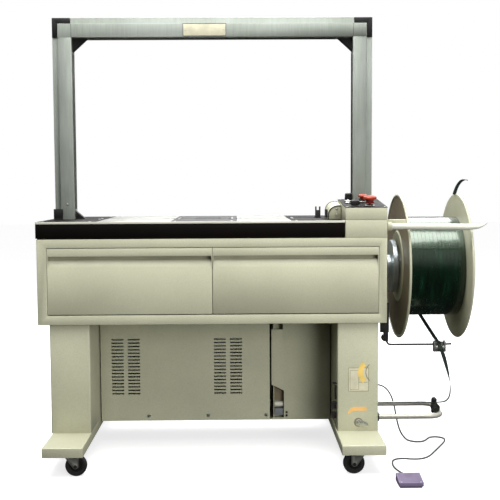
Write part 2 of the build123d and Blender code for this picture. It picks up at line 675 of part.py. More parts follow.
def guard_arm():
    socket = disc_x((HALF_LENGTH + 2.0, 560.0), (GUARD_Y, GUARD_Z), 15.0)
    clamp = block((545.0, 606.0), (GUARD_Y + 2.0, GUARD_Y + 22.0), (GUARD_Z + 8.0, GUARD_Z + 21.0))
    arm = rod((560.0, GUARD_Y, GUARD_Z), (800.0, GUARD_Y, 731.5), 10.0)
    cone = Plane(origin=(800.0, GUARD_Y, 731.5), z_dir=(1, 0, 0.03)).location
    arm += cone * (Pos(0, 0, 17.0) * Cone(10.0, 6.0, 34.0))
    bend = (GUARD_BEND[0], GUARD_Y, GUARD_BEND[1])
    tip = (GUARD_TIP[0], GUARD_Y, GUARD_TIP[1])
    arm += rod((832.0, GUARD_Y, 732.3), bend, 5.0)
    arm += Pos(*bend) * Sphere(5.0)
    arm += rod(bend, tip, 5.0)
    arm += Pos(*tip) * Sphere(5.0)
    arm += Pos(832.0, GUARD_Y, 732.3) * Sphere(6.0)
    save("guard_arm", arm + socket + clamp)


# ------------------------------------------------------------------ guide bar and rollers
def guide_bar():
    route = [
        (LEG_FACE, BAR_FRONT_Y, BAR_Z),
        (BAR_END_X, BAR_FRONT_Y, BAR_Z),
        (BAR_END_X, BAR_REAR_Y, BAR_Z),
        (LEG_FACE, BAR_REAR_Y, BAR_Z),
    ]
    bar, _ = tube_along(route, [42.0, 34.0], BAR_RADIUS)
    bar += disc_x((LEG_FACE, LEG_FACE + 8.0), (BAR_FRONT_Y, BAR_Z), 14.0)
    cheek_y = (ROLLER_Y[1] + 1.0, ROLLER_Y[1] + 5.0)
    cheek = block((705.0, BAR_END_X - 2.0), cheek_y, (122.0, 174.0))
    bar += fillet(cheek.edges().filter_by(Axis.Y), 7.0)
    lower_x, lower_z, _ = LOWER_ROLLER
    upper_x, upper_z, _ = UPPER_ROLLER
    pin_y = (ROLLER_RIM[0] - 2.0, cheek_y[1])
    bar += disc_y(pin_y, (lower_x, lower_z), AXLE_RADIUS)
    bar += disc_y(pin_y, (upper_x, upper_z), AXLE_RADIUS)
    save("guide_bar", bar)
    for name, (x, z, radius) in (("lower_roller", LOWER_ROLLER), ("upper_roller", UPPER_ROLLER)):
        roller = disc_y(ROLLER_Y, (x, z), radius)
        roller = chamfer(roller.edges().filter_by(GeomType.CIRCLE), 1.0)
        if name == "lower_roller":
            roller += disc_y(ROLLER_RIM[:2], (x, z), ROLLER_RIM[2])
        save(name, roller - disc_y((ROLLER_RIM[0], ROLLER_Y[1]), (x, z), AXLE_RADIUS + RUNNING))


# ------------------------------------------------------------------ foot switch and cords
def foot_switch():
    inner_x = (SWITCH_X[0] + 3.5, SWITCH_X[1] - 3.5)
    rear = SWITCH_Y[1] - 3.5
    base = block(inner_x, (SWITCH_Y[0] + 4.0, rear), (FLOOR, FLOOR + 8.0))
    base = fillet(base.edges().filter_by(Axis.Z), 3.0)
    base += block((inner_x[0] + 4.5, inner_x[1] - 4.5), (rear - 9.5, rear), (FLOOR + 8.0, FLOOR + 19.0))
    base += disc_x((SWITCH_X[0] + 0.3, SWITCH_X[1] - 0.3), PEDAL_AXIS, 2.0)
    save("foot_switch_base", base)

    low, front_top, rear_top = FLOOR + 5.0, FLOOR + 16.0, FLOOR + 26.0
    side = [
        (SWITCH_Y[0], low),
        (SWITCH_Y[1], low),
        (SWITCH_Y[1], rear_top),
        (SWITCH_Y[0], front_top),
    ]
    pedal = prism_x(side, SWITCH_X)
    pedal = fillet(pedal.edges().filter_by(Axis.Z), 2.5)
    inside = [
        (SWITCH_Y[0] + 2, low - 5.0),
        (SWITCH_Y[1] - 2, low - 5.0),
        (SWITCH_Y[1] - 2, rear_top - 2.5),
        (SWITCH_Y[0] + 2, front_top - 2.5),
    ]
    pedal -= prism_x(inside, (SWITCH_X[0] + 2.0, SWITCH_X[1] - 2.0))
    pedal -= disc_x((SWITCH_X[0] - 5.0, SWITCH_X[1] + 5.0), PEDAL_AXIS, 2.0 + RUNNING)
    slot_x = (RELIEF[0] - 9.0, RELIEF[0] + 9.0)
    pedal -= block(slot_x, (SWITCH_Y[1] - 4.0, SWITCH_Y[1] + 3.0), (FLOOR, FLOOR + 15.0))
    save("foot_pedal", pedal)


def glands():
    body = disc_x((LEG_FACE, LEG_FACE + 5.0), GLAND, 11.0)
    body += disc_x((LEG_FACE + 5.0, LEG_FACE + 14.0), GLAND, 8.0)
    body += disc_x((LEG_FACE + 14.0, CORD_ROUTE[0][0]), GLAND, 5.0)
    inlet = disc_y((248.0, 254.0), (-440.0, 520.0), 14.0) + disc_y((254.0, 262.0), (-440.0, 520.0), 9.0)
    relief = disc_y((SWITCH_Y[1] - 3.5, CORD_ROUTE[-1][1]), RELIEF, 4.5)
    y, z = STRAP_ENTRY
    entry = block((LEG_FACE, STRAP_ROUTE[-1][0]), (y - 14.0, y + 14.0), (z - 9.0, z + 9.0))
    entry = fillet(entry.edges().filter_by(Axis.X), 5.0)
    save("side_fittings", body, inlet, relief, entry)


CORD_ROUTE = [
    (543.0, 20.0, 180.0),
    (564.0, 20.0, 180.0),
    (588.0, 22.0, 166.0),
    (605.0, 24.0, 139.0),
    (615.0, 25.0, 107.0),
    (621.0, 25.0, 74.0),
    (627.0, 22.0, 42.0),
    (635.0, 9.0, 14.0),
    (647.0, -15.0, -0.4),
    (655.0, -40.0, -0.4),
    (675.5, -54.5, -0.4),
    (699.0, -51.5, -0.4),
    (715.0, -30.5, -0.4),
    (731.0, -1.0, -0.4),
    (751.8, 6.2, -0.4),
    (772.0, -2.4, -0.4),
    (781.3, -22.3, -0.4),
    (770.8, -56.7, -0.4),
    (744.0, -109.0, -0.4),
    (713.0, -168.0, -0.4),
    (686.0, -218.0, -0.4),
    (657.0, -244.0, -0.4),
    (624.0, -245.0, -0.4),
    (602.0, -237.0, -0.4),
    (579.5, -240.0, -0.4),
    (563.0, -255.0, -0.4),
    (556.0, -285.0, -0.4),
    (554.0, -325.0, -0.4),
    (562.0, -365.0, -0.4),
    (575.0, -404.0, 2.0),
    (575.0, -442.0, 2.0),
]

STRAP_ROUTE = [
    (693.0, 86.5, 446.0),
    (711.0, 21.0, 405.5),
    (729.0, -45.0, 366.5),
    (744.0, -102.5, 335.0),
    (750.5, -108.0, 312.0),
    (757.0, -113.0, 289.0),
    (763.5, -121.0, 260.0),
    (768.5, -130.0, 231.0),
    (770.0, -139.0, 204.0),
    (766.0, -149.0, 179.0),
    (755.0, -156.0, 164.8),
    (738.0, -160.0, 160.6),
    (700.0, -160.0, 160.0),
    (640.0, -160.0, 159.4),
    (580.0, -160.0, 159.8),
    (524.0, -160.0, 159.8),
]
STRAP_TUBE = 2.0


def corner_radii(points):
    """Largest arc at each corner: 0.45 of its shorter run over the tangent of half the turn."""
    radii = []
    for before, here, after in zip(points, points[1:], points[2:]):
        arriving = Vector(*here) - Vector(*before)
        leaving = Vector(*after) - Vector(*here)
        turn = math.radians(arriving.get_angle(leaving))
        radii.append(0.45 * min(arriving.length, leaving.length) / math.tan(turn / 2))
    return radii


def cords():
    routes = (
        ("foot_switch_cord", CORD_ROUTE, CORD_RADIUS),
        ("strap_run", STRAP_ROUTE, STRAP_TUBE),
    )
    for name, route, radius in routes:
        radii = corner_radii(route)
        tube, path = tube_along(route, radii, radius)
        print(name, "length", round(path.length), "radii", [round(r) for r in radii])
        print("  volume over section times length", tube.volume / (math.pi * radius**2 * path.length))
        save(name, tube)


# ------------------------------------------------------------------ lever and screws
LEVER_PIVOT = (456.0, 118.0)


def lever_and_screws():
    lever = disc_y((-247.0, -242.0), LEVER_PIVOT, 11.0)
    arm = [(456.0, 126.0), (456.0, 111.0), (482.0, 103.0), (486.0, 107.0), (484.0, 117.0)]
    lever += prism_y(arm, (-247.0, -243.0))
    lever -= disc_y((-250.0, -240.0), LEVER_PIVOT, 5.0 + RUNNING)
    save("threading_lever", lever)

    screws = [disc_y((-250.0, -LEG_HALF_DEPTH), LEVER_PIVOT, 5.0)]
    low = PANEL_Y - 2.5
    for x in (-223.0, -24.0, 171.0):
        screws.append(disc_y((low, PANEL_Y), (x, 94.0), 5.0))
    for x in (-330.0, -22.0, 150.0, 245.0, 360.0):
        screws.append(disc_y((low, PANEL_Y), (x, 418.0), 5.0))
    save("panel_screws", *screws)


os.makedirs("parts", exist_ok=True)
cabinet()
doors()
legs_and_feet()
castors()
lower_housing()
table()
strapping_head()
arch()
controls()
chute_hood()
reel()
brake()
guard_arm()
guide_bar()
foot_switch()
glands()
cords()
lever_and_screws()
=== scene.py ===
import json
import math
import random

import bmesh
import bpy
from mathutils import Matrix, Vector

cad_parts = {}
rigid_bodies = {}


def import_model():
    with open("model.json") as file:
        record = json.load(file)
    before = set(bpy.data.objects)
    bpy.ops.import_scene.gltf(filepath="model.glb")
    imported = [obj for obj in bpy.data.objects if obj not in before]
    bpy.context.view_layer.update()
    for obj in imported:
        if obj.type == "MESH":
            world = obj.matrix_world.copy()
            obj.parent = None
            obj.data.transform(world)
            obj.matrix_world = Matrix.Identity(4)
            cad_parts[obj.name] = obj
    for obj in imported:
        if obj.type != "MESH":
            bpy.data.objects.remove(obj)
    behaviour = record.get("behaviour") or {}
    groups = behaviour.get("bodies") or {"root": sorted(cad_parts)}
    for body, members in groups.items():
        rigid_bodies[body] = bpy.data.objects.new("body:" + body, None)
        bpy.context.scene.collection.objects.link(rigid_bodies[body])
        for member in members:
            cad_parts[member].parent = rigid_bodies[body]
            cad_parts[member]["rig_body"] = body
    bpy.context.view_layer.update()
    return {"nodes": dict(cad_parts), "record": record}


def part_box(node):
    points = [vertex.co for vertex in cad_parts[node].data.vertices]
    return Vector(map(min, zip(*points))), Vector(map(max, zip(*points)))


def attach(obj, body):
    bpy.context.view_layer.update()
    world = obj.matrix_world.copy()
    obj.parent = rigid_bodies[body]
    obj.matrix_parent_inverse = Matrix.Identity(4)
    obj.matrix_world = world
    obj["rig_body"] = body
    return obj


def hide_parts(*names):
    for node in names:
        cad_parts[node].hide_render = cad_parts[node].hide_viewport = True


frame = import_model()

# An arch strapping machine. Shapes are written in millimetres in the cabinet's own frame: X = 0 and
# Y = 0 are the cabinet's middle, the floor is at Z = FLOOR, and the operator stands at -Y.
MM = 0.001
FLOOR = -3
TABLE_TOP = 755
front_low, front_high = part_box("front_frame")
plate_low, plate_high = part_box("table_plates")
ORIGIN = Vector(((front_low.x + front_high.x) / 2, (plate_low.y + plate_high.y) / 2, -FLOOR * MM))
TO_ROW = Matrix.Translation(ORIGIN) @ Matrix.Scale(MM, 4)
TO_CABINET = TO_ROW.inverted()
RIGHT, BACK, UP, FORWARD = (1, 0, 0), (0, 1, 0), (0, 0, 1), (0, -1, 0)

# Sizes that several pieces share.
POST_INNER = 463
BEAM_Z = (1352, 1396)
LEVER_HUB = (456, 118)
PANEL_FRONT = (-250, 796)
PANEL_RISE, PANEL_RUN = 22, 212
CONTROL_SPOTS = {"stop": (494, -208), "reset": (486, -105), "timer": (447, -212), "selector": (443, -80)}
LEG_X, GUARD_Y, GUARD_Z = 518, -225, 735
ARM_Y, ARM_Z = -90, 338
ARM_PIVOT = (562, 361)


def at(x, y, z):
    """A point of the cabinet's frame, in the row frame."""
    return TO_ROW @ Vector((x, y, z))


def extent(node):
    """Lowest and highest corner of a CAD node, in the cabinet's millimetres."""
    low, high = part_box(node)
    return TO_CABINET @ low, TO_CABINET @ high


# ------------------------------------------------------------------ camera
CAMERA_ANGLES = (4.07, 0.76, 0.3)  # tilt, yaw and roll in degrees
CAMERA_PLACE = (80, -3028, 863)
LENS, SENSOR_WIDTH = 64.8, 36


def add_camera():
    tilt, yaw, roll = [math.radians(angle) for angle in CAMERA_ANGLES]
    forward = Vector((math.sin(yaw) * math.cos(tilt), math.cos(yaw) * math.cos(tilt), -math.sin(tilt)))
    right = forward.cross(Vector(UP)).normalized()
    up = right.cross(forward)
    right, up = math.cos(roll) * right - math.sin(roll) * up, math.sin(roll) * right + math.cos(roll) * up
    data = bpy.data.cameras.new("camera")
    data.lens = LENS
    data.sensor_width = SENSOR_WIDTH
    camera = bpy.data.objects.new("camera", data)
    turn = Matrix((right, up, -forward)).transposed().to_4x4()
    camera.matrix_world = Matrix.Translation(at(*CAMERA_PLACE)) @ turn
    bpy.context.scene.collection.objects.link(camera)
    bpy.context.scene.camera = camera


add_camera()


# ------------------------------------------------------------------ materials
class Recipe:
    """One material: a Principled shader whose inputs are fed by procedural nodes."""

    def __init__(self, name, **sockets):
        self.material = bpy.data.materials.new(name)
        self.material.use_nodes = True
        self.tree = self.material.node_tree
        self.shader = self.tree.nodes["Principled BSDF"]
        self.fill(self.shader, **sockets)
        self.coordinates = self.node("TexCoord").outputs["Object"]

    def put(self, inlet, value):
        """Links an output to an input, or sets the input to a plain value."""
        if isinstance(value, bpy.types.NodeSocket):
            self.tree.links.new(value, inlet)
        else:
            inlet.default_value = value

    def fill(self, node, **sockets):
        for socket, value in sockets.items():
            self.put(node.inputs[socket.replace("_", " ")], value)
        return node

    def node(self, kind, **sockets):
        return self.fill(self.tree.nodes.new("ShaderNode" + kind), **sockets)

    def feed(self, socket, output):
        self.put(self.shader.inputs[socket], output)

    def noise(self, scale, detail=3, stretch=(1, 1, 1), roughness=0.5):
        place = self.node("Mapping", Scale=stretch, Vector=self.coordinates).outputs["Vector"]
        return self.node("TexNoise", Scale=scale, Detail=detail, Roughness=roughness, Vector=place).outputs[0]

    def ramp(self, factor, *stops):
        ramp = self.node("ValToRGB", Fac=factor)
        elements = ramp.color_ramp.elements
        while len(elements) < len(stops):
            elements.new(0.5)
        for element, (position, colour) in zip(elements, stops):
            element.position = position
            element.color = (*colour, 1)
        return ramp.outputs["Color"]

    def span(self, factor, low, high):
        """Maps 0..1 to low..high."""
        return self.node("MapRange", To_Min=low, To_Max=high, Value=factor).outputs["Result"]

    def mix(self, factor, first, second, blend="MIX"):
        mix = self.node("Mix")
        mix.data_type = "RGBA"
        mix.blend_type = blend
        self.put(mix.inputs[0], factor)
        for number, colour in ((6, first), (7, second)):
            self.put(mix.inputs[number], (*colour, 1) if isinstance(colour, tuple) else colour)
        return mix.outputs[2]

    def maths(self, operation, first, second):
        node = self.node("Math")
        node.operation = operation
        self.put(node.inputs[0], first)
        self.put(node.inputs[1], second)
        return node.outputs[0]

    def edges(self, radius):
        """1 on sharp edges, 0 on flat faces."""
        bevel = self.node("Bevel", Radius=radius)
        bevel.samples = 4
        dot = self.node("VectorMath")
        dot.operation = "DOT_PRODUCT"
        self.put(dot.inputs[0], bevel.outputs["Normal"])
        self.put(dot.inputs[1], self.node("NewGeometry").outputs["Normal"])
        return self.maths("MULTIPLY", self.maths("SUBTRACT", 1, dot.outputs["Value"]), 6)

    def crevices(self, distance):
        """1 where surfaces close in on each other, 0 in the open."""
        occlusion = self.node("AmbientOcclusion", Distance=distance)
        occlusion.samples = 4
        return self.maths("SUBTRACT", 1, occlusion.outputs["AO"])

    def bump(self, height, strength, distance):
        bump = self.node("Bump", Strength=strength, Distance=distance, Height=height)
        self.feed("Normal", bump.outputs["Normal"])


def shade(colour, factor):
    return tuple(min(1, channel * factor) for channel in colour)


RUBBED = (0.55, 0.53, 0.44)
# Brown used for soiling streaks and for painted shade in the corners.
GRIME_AND_SHADE = (0.16, 0.13, 0.07)


def enamel(name, colour, roughness=0.42, wear=RUBBED, grime_and_shade=GRIME_AND_SHADE, dirt_and_shade=0.5, coat=0.1):
    """Stove enamel on sheet steel: slight mottle, orange peel, rubbed edges, and brown soiling streaks mixed
    with painted shade in the corners.
    """
    gloss = 0.12 + 3.5 * coat
    recipe = Recipe(name, Roughness=roughness, Specular_IOR_Level=gloss, Coat_Weight=coat, Coat_Roughness=0.3)
    mottle = recipe.ramp(recipe.noise(5, 5), (0.3, shade(colour, 0.92)), (0.7, shade(colour, 1.06)))
    fleck = recipe.ramp(recipe.noise(420, 2), (0.35, (0.90, 0.90, 0.88)), (0.6, (1, 1, 1)))
    base = recipe.mix(1, mottle, fleck, "MULTIPLY")
    runs = recipe.noise(14, 4, (1, 1, 0.25))
    # Painted shade: darker and browner where surfaces close in, broken up into soiling streaks by a stretched
    # noise.
    soiled_and_shaded = recipe.maths("MULTIPLY", recipe.crevices(0.05), recipe.span(runs, 0.1, dirt_and_shade * 1.5))
    base = recipe.mix(soiled_and_shaded, base, grime_and_shade)
    rubbed = recipe.maths("MULTIPLY", recipe.edges(0.0012), recipe.span(recipe.noise(60), -0.3, 0.9))
    recipe.feed("Base Color", recipe.mix(recipe.maths("MAXIMUM", rubbed, 0), base, wear))
    recipe.feed("Roughness", recipe.span(recipe.noise(30, 4), roughness - 0.08, roughness + 0.12))
    recipe.bump(recipe.noise(700, 2), 0.25, 0.0002)
    return recipe.material


def bare_metal(name, colour, roughness, stretch, metallic=1, streak=0.25, scale=40):
    """Rolled or brushed metal: streaks along one axis, smudges, brighter edges."""
    recipe = Recipe(name, Metallic=metallic)
    lines = recipe.noise(scale, 6, stretch, 0.65)
    dark, bright = shade(colour, 1 - streak), shade(colour, 1 + streak)
    streaks = recipe.ramp(lines, (0.3, dark), (0.7, bright))
    smudge = recipe.ramp(recipe.noise(7, 4), (0.3, (0.82, 0.83, 0.80)), (0.65, (1, 1, 1)))
    base = recipe.mix(1, streaks, smudge, "MULTIPLY")
    recipe.feed("Base Color", recipe.mix(recipe.edges(0.0008), base, shade(colour, 1.5)))
    recipe.feed("Roughness", recipe.span(lines, roughness - 0.08, roughness + 0.12))
    recipe.bump(lines, 0.12, 0.0001)
    return recipe.material


def plastic(name, colour, roughness, grain=900, depth=0.2, coat=0):
    """Moulded plastic or rubber: fine grain, dust in the recesses, a little fading on edges."""
    recipe = Recipe(name, Roughness=roughness, Coat_Weight=coat, Coat_Roughness=0.08)
    tone = recipe.ramp(recipe.noise(25, 4), (0.3, shade(colour, 0.85)), (0.7, shade(colour, 1.15)))
    faded = recipe.mix(recipe.maths("MULTIPLY", recipe.edges(0.0006), 0.35), tone, shade(colour, 2.2))
    dust = recipe.maths("MULTIPLY", recipe.crevices(0.006), 0.3)
    recipe.feed("Base Color", recipe.mix(dust, faded, (0.22, 0.20, 0.15)))
    recipe.feed("Roughness", recipe.span(recipe.noise(80, 3), roughness - 0.06, roughness + 0.1))
    recipe.bump(recipe.noise(grain, 2), depth, 0.0002)
    return recipe.material


def strap_material(name):
    """Green polypropylene strap: fine ribs, glossy."""
    recipe = Recipe(
        name, Roughness=0.2, IOR=1.75, Coat_Weight=0.7, Coat_Roughness=0.1, Specular_Tint=(0.8, 1, 0.76, 1)
    )
    tone = recipe.noise(90, 3, (1, 0.15, 0.15))
    stops = ((0.3, (0.001, 0.004, 0.002)), (0.55, (0.002, 0.012, 0.006)), (0.8, (0.005, 0.034, 0.016)))
    recipe.feed("Base Color", recipe.ramp(tone, *stops))
    recipe.feed("Roughness", recipe.span(recipe.noise(160, 3, (1, 0.2, 0.2)), 0.14, 0.34))
    recipe.bump(recipe.noise(500, 2, (1, 0.4, 0.4)), 0.25, 0.0003)
    return recipe.material


RECIPES = {
    "cream_paint": (enamel, (0.50, 0.50, 0.365)),
    # White paint, also used as a painted highlight on the table's front edge.
    "white_paint": (enamel, (0.66, 0.66, 0.57), 0.35, (0.7, 0.69, 0.62), (0.3, 0.27, 0.2), 0.25),
    "black_paint": (enamel, (0.004, 0.003, 0.0025), 0.5, (0.05, 0.045, 0.04), (0.02, 0.015, 0.01), 0.3, 0),
    "machine_grey": (enamel, (0.19, 0.21, 0.22), 0.45),
    # Brown sheet, also used as painted shade on the reel flange and round the threading lever.
    "brown_sheet": (enamel, (0.20, 0.165, 0.11), 0.5),
    "stainless": (bare_metal, (0.66, 0.66, 0.62), 0.3, (0.05, 1, 1), 1, 0.25, 300),
    "dark_steel": (bare_metal, (0.055, 0.055, 0.055), 0.45, (1, 0.2, 1), 0.7),
    "arch_metal": (bare_metal, (0.36, 0.39, 0.35), 0.5, (1, 1, 0.06), 0.35, 0.10, 160),
    "zinc": (bare_metal, (0.62, 0.63, 0.58), 0.36, (1, 1, 0.3), 0.9, 0.15),
    "turned_steel": (bare_metal, (0.55, 0.60, 0.64), 0.3, (1, 0.1, 0.1), 0.85, 0.12),
    "worn_steel": (bare_metal, (0.22, 0.22, 0.21), 0.45, (1, 0.3, 1), 0.6),
    "bar_metal": (bare_metal, (0.66, 0.64, 0.56), 0.34, (1, 0.2, 0.2), 0.55, 0.10),
    "black_plastic": (plastic, (0.006, 0.006, 0.006), 0.45),
    # Near-black used as painted shade inside openings.
    "recess_black": (plastic, (0.006, 0.005, 0.004), 0.7),
    "tyre_rubber": (plastic, (0.016, 0.016, 0.017), 0.6, 500, 0.35),
    "cord_rubber": (plastic, (0.045, 0.045, 0.05), 0.5, 800, 0.15),
    "roller_rubber": (plastic, (0.05, 0.045, 0.04), 0.65, 600, 0.4),
    "red_plastic": (plastic, (0.30, 0.035, 0.010), 0.35, 700, 0.1, 0.15),
    "dark_red": (plastic, (0.16, 0.012, 0.010), 0.35, 700, 0.1),
    "purple_plastic": (plastic, (0.16, 0.13, 0.21), 0.55, 420, 0.5),
    "lamp_lens": (plastic, (0.80, 0.80, 0.74), 0.12, 300, 0.05, 0.6),
    "label_yellow": (plastic, (0.78, 0.56, 0.16), 0.45, 500, 0.05),
    "label_orange": (plastic, (0.85, 0.50, 0.17), 0.45, 500, 0.05),
    "label_cream": (plastic, (0.62, 0.59, 0.43), 0.4, 500, 0.05),
    "label_line": (plastic, (0.20, 0.18, 0.10), 0.5, 500, 0.05),
    "green_strap": (strap_material,),
    "dull_strap": (plastic, (0.010, 0.018, 0.014), 0.65),
}
MATERIALS = {name: make(name, *values) for name, (make, *values) in RECIPES.items()}


# ------------------------------------------------------------------ mesh helpers
def link(obj):
    bpy.context.scene.collection.objects.link(obj)
    return obj


BEVEL_FROM, CREASE_FROM = 38, 34  # angles between faces, in degrees


def finish_piece(obj, look, body, replaces, bevel):
    if bevel:
        modifier = obj.modifiers.new("edges", "BEVEL")
        modifier.width = bevel * MM
        modifier.segments = 2
        modifier.limit_method = "ANGLE"
        modifier.angle_limit = math.radians(BEVEL_FROM)
        modifier.miter_outer = "MITER_ARC"
        view = bpy.context.evaluated_depsgraph_get()
        mesh = bpy.data.meshes.new_from_object(obj.evaluated_get(view))
        obj.modifiers.clear()
        obj.data = mesh
    mesh = obj.data
    mesh.materials.clear()
    mesh.materials.append(MATERIALS[look])
    for polygon in mesh.polygons:
        polygon.use_smooth = True
        polygon.material_index = 0
    mesh.set_sharp_from_angle(angle=math.radians(CREASE_FROM))
    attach(obj, body)
    if replaces:
        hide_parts(*replaces)
    return obj


def piece(name, bm, slot, body="machine", replaces=(), bevel=0, look=None):
    """A new piece from a bmesh in the cabinet's millimetres; look names a material other than the slot's."""
    bmesh.ops.recalc_face_normals(bm, faces=bm.faces)
    bm.transform(TO_ROW)
    mesh = bpy.data.meshes.new(name)
    bm.to_mesh(mesh)
    bm.free()
    obj = link(bpy.data.objects.new(name, mesh))
    return finish_piece(obj, look or slot, body, replaces, bevel)


def refined(node, bevel):
    """The CAD node's own shape with real rounded edges."""
    source = frame["nodes"][node]
    slot = SLOTS[node]
    bm = bmesh.new()
    bm.from_mesh(source.data)
    bmesh.ops.remove_doubles(bm, verts=bm.verts, dist=2e-6)
    if bevel:
        bmesh.ops.dissolve_limit(bm, angle_limit=math.radians(0.4), verts=bm.verts, edges=bm.edges)
    mesh = bpy.data.meshes.new(node + "_shell")
    bm.to_mesh(mesh)
    bm.free()
    for name in ("custom_normal", "sharp_edge", "sharp_face"):
        if name in mesh.attributes:
            mesh.attributes.remove(mesh.attributes[name])
    obj = link(bpy.data.objects.new(node + "_shell", mesh))
    finish_piece(obj, slot, source["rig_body"], (node,), bevel)


SLOTS = {row["node"]: row["material_slot"] for row in frame["record"]["subparts"]}


def add_block(bm, x, y, z):
    """Box between (low, high) pairs."""
    corners = [bm.verts.new((cx, cy, cz)) for cx in x for cy in y for cz in z]
    for face in ((0, 1, 3, 2), (4, 6, 7, 5), (0, 4, 5, 1), (2, 3, 7, 6), (0, 2, 6, 4), (1, 5, 7, 3)):
        bm.faces.new([corners[i] for i in face])


def bridge(bm, rings):
    """Skins a row of equal rings and closes both ends."""
    count = len(rings[0])
    for first, second in zip(rings, rings[1:]):
        for i in range(count):
            j = (i + 1) % count
            bm.faces.new((first[i], first[j], second[j], second[i]))
    bm.faces.new(rings[0][::-1])
    bm.faces.new(rings[-1])


def add_prism(bm, outline, place, depth):
    """Extruded outline: its points lie in the XY plane of the matrix, and it rises along its Z."""
    bridge(bm, [[bm.verts.new(place @ Vector((x, y, z))) for x, y in outline] for z in (0, depth)])


def on_circle(place, radius, turn, height):
    """Point at an angle round the Z axis of a matrix."""
    return place @ Vector((radius * math.cos(turn), radius * math.sin(turn), height))


def add_lathe(bm, profile, place, steps=64):
    """Surface of revolution about the Z axis of the matrix; profile is (radius, height) pairs.
    A radius of 0 at either end closes it there; otherwise the profile is closed into a ring."""
    rings = []
    for radius, height in profile:
        if radius == 0:
            rings.append([bm.verts.new(place @ Vector((0, 0, height)))])
            continue
        ring = []
        for step in range(steps):
            ring.append(bm.verts.new(on_circle(place, radius, 2 * math.pi * step / steps, height)))
        rings.append(ring)
    closed = profile[0][0] > 0 and profile[-1][0] > 0
    pairs = list(zip(rings, rings[1:])) + ([(rings[-1], rings[0])] if closed else [])
    for first, second in pairs:
        for i in range(steps):
            j = (i + 1) % steps
            if len(first) == 1 and len(second) == 1:
                break
            if len(first) == 1:
                bm.faces.new((first[0], second[i], second[j]))
            elif len(second) == 1:
                bm.faces.new((first[i], first[j], second[0]))
            else:
                bm.faces.new((first[i], first[j], second[j], second[i]))


def both_faces(half, width, middle=()):
    """Profile of a wheel from that of one face, mirrored over its width."""
    return half + list(middle) + [(reach, width - depth) for reach, depth in half[::-1]]


def along(origin, direction):
    """Matrix at a point whose Z axis points along a direction."""
    turn = Vector(UP).rotation_difference(Vector(direction)).to_matrix().to_4x4()
    return Matrix.Translation(Vector(origin)) @ turn


def arc(centre, radius, start, end, steps):
    """Points on a circle from one angle to another, in degrees."""
    turns = [math.radians(start + (end - start) * i / steps) for i in range(steps + 1)]
    return [(centre[0] + radius * math.cos(turn), centre[1] + radius * math.sin(turn)) for turn in turns]


def add_tube(bm, points, radii, sides=20):
    """Round tube with a radius at each point, or one radius for all, and closed ends."""
    points = [Vector(p) for p in points]
    if not isinstance(radii, (list, tuple)):
        radii = [radii] * len(points)
    normal = None
    rings = []
    for i, point in enumerate(points):
        before, after = points[max(i - 1, 0)], points[min(i + 1, len(points) - 1)]
        tangent = (after - before).normalized()
        if normal is None:
            normal = tangent.orthogonal().normalized()
        normal = (normal - tangent * normal.dot(tangent)).normalized()
        side = tangent.cross(normal)
        ring = []
        for step in range(sides):
            turn = 2 * math.pi * step / sides
            offset = radii[i] * (math.cos(turn) * normal + math.sin(turn) * side)
            ring.append(bm.verts.new(point + offset))
        rings.append(ring)
    bridge(bm, rings)


def lone(name, slot, add, *shape, **options):
    """A piece that is a single block, prism or turned part."""
    bm = bmesh.new()
    add(bm, *shape)
    return piece(name, bm, slot, **options)


def spline_object(name, points, resolution):
    """NURBS curve of order 3 that starts and ends at its outer control points."""
    data = bpy.data.curves.new(name, "CURVE")
    data.dimensions = "3D"
    spline = data.splines.new("NURBS")
    spline.points.add(len(points) - 1)
    for slot, point in zip(spline.points, points):
        slot.co = (*point, 1)
    spline.order_u = 3
    spline.use_endpoint_u = True
    spline.resolution_u = resolution
    return link(bpy.data.objects.new(name, data))


def smooth_line(points, resolution):
    """Points along such a curve, in the unit of its control points."""
    obj = spline_object("line", points, resolution)
    mesh = bpy.data.meshes.new_from_object(obj)
    line = [vertex.co.copy() for vertex in mesh.vertices]
    bpy.data.objects.remove(obj)
    return line


# ------------------------------------------------------------------ cords
CORD_ON_FLOOR = [
    (647, -15), (655, -40), (675.5, -54.5), (699, -51.5), (715, -30.5), (731, -1), (751.8, 6.2),
    (772, -2.4), (781.3, -22.3), (770.8, -56.7), (744, -109), (713, -168), (686, -218), (657, -244),
    (624, -245), (602, -237), (579.5, -240), (563, -255), (556, -285), (554, -325), (562, -365),
]
CORD_ROUTE = [
    (543, 20, 180), (564, 20, 180), (588, 22, 166), (605, 24, 139), (615, 25, 107), (621, 25, 74),
    (627, 22, 42), (635, 9, 14),
]
CORD_ROUTE += [(x, y, -0.4) for x, y in CORD_ON_FLOOR] + [(575, -404, 2), (575, -442, 2)]
STRAP_ROUTE = [
    (693, 86.5, 446), (711, 21, 405.5), (729, -45, 366.5), (744, -102.5, 335), (750.5, -108, 312),
    (757, -113, 289), (763.5, -121, 260), (768.5, -130, 231), (770, -139, 204), (766, -149, 179),
    (755, -156, 164.8), (738, -160, 160.6), (700, -160, 160), (640, -160, 159.4),
    (580, -160, 159.8), (524, -160, 159.8),
]
CORD_DIAMETER = 5
STRAP_WIDTH = 12.7
STRAP_THICKNESS = 1.2
CORD_STEPS = 12
BEND_STEPS = 8


def length_of(points):
    return sum((b - a).length for a, b in zip(points, points[1:]))


def foot_switch_cord():
    route = [at(*point) for point in CORD_ROUTE]
    length = length_of(smooth_line(route, CORD_STEPS))
    cord = spline_object("foot_switch_lead", route, CORD_STEPS)
    cord.data.bevel_depth = CORD_DIAMETER / 2 * MM
    cord.data.bevel_resolution = 5
    cord.data.use_fill_caps = True
    cord.data.materials.append(MATERIALS["cord_rubber"])
    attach(cord, "machine")
    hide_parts("foot_switch_cord")


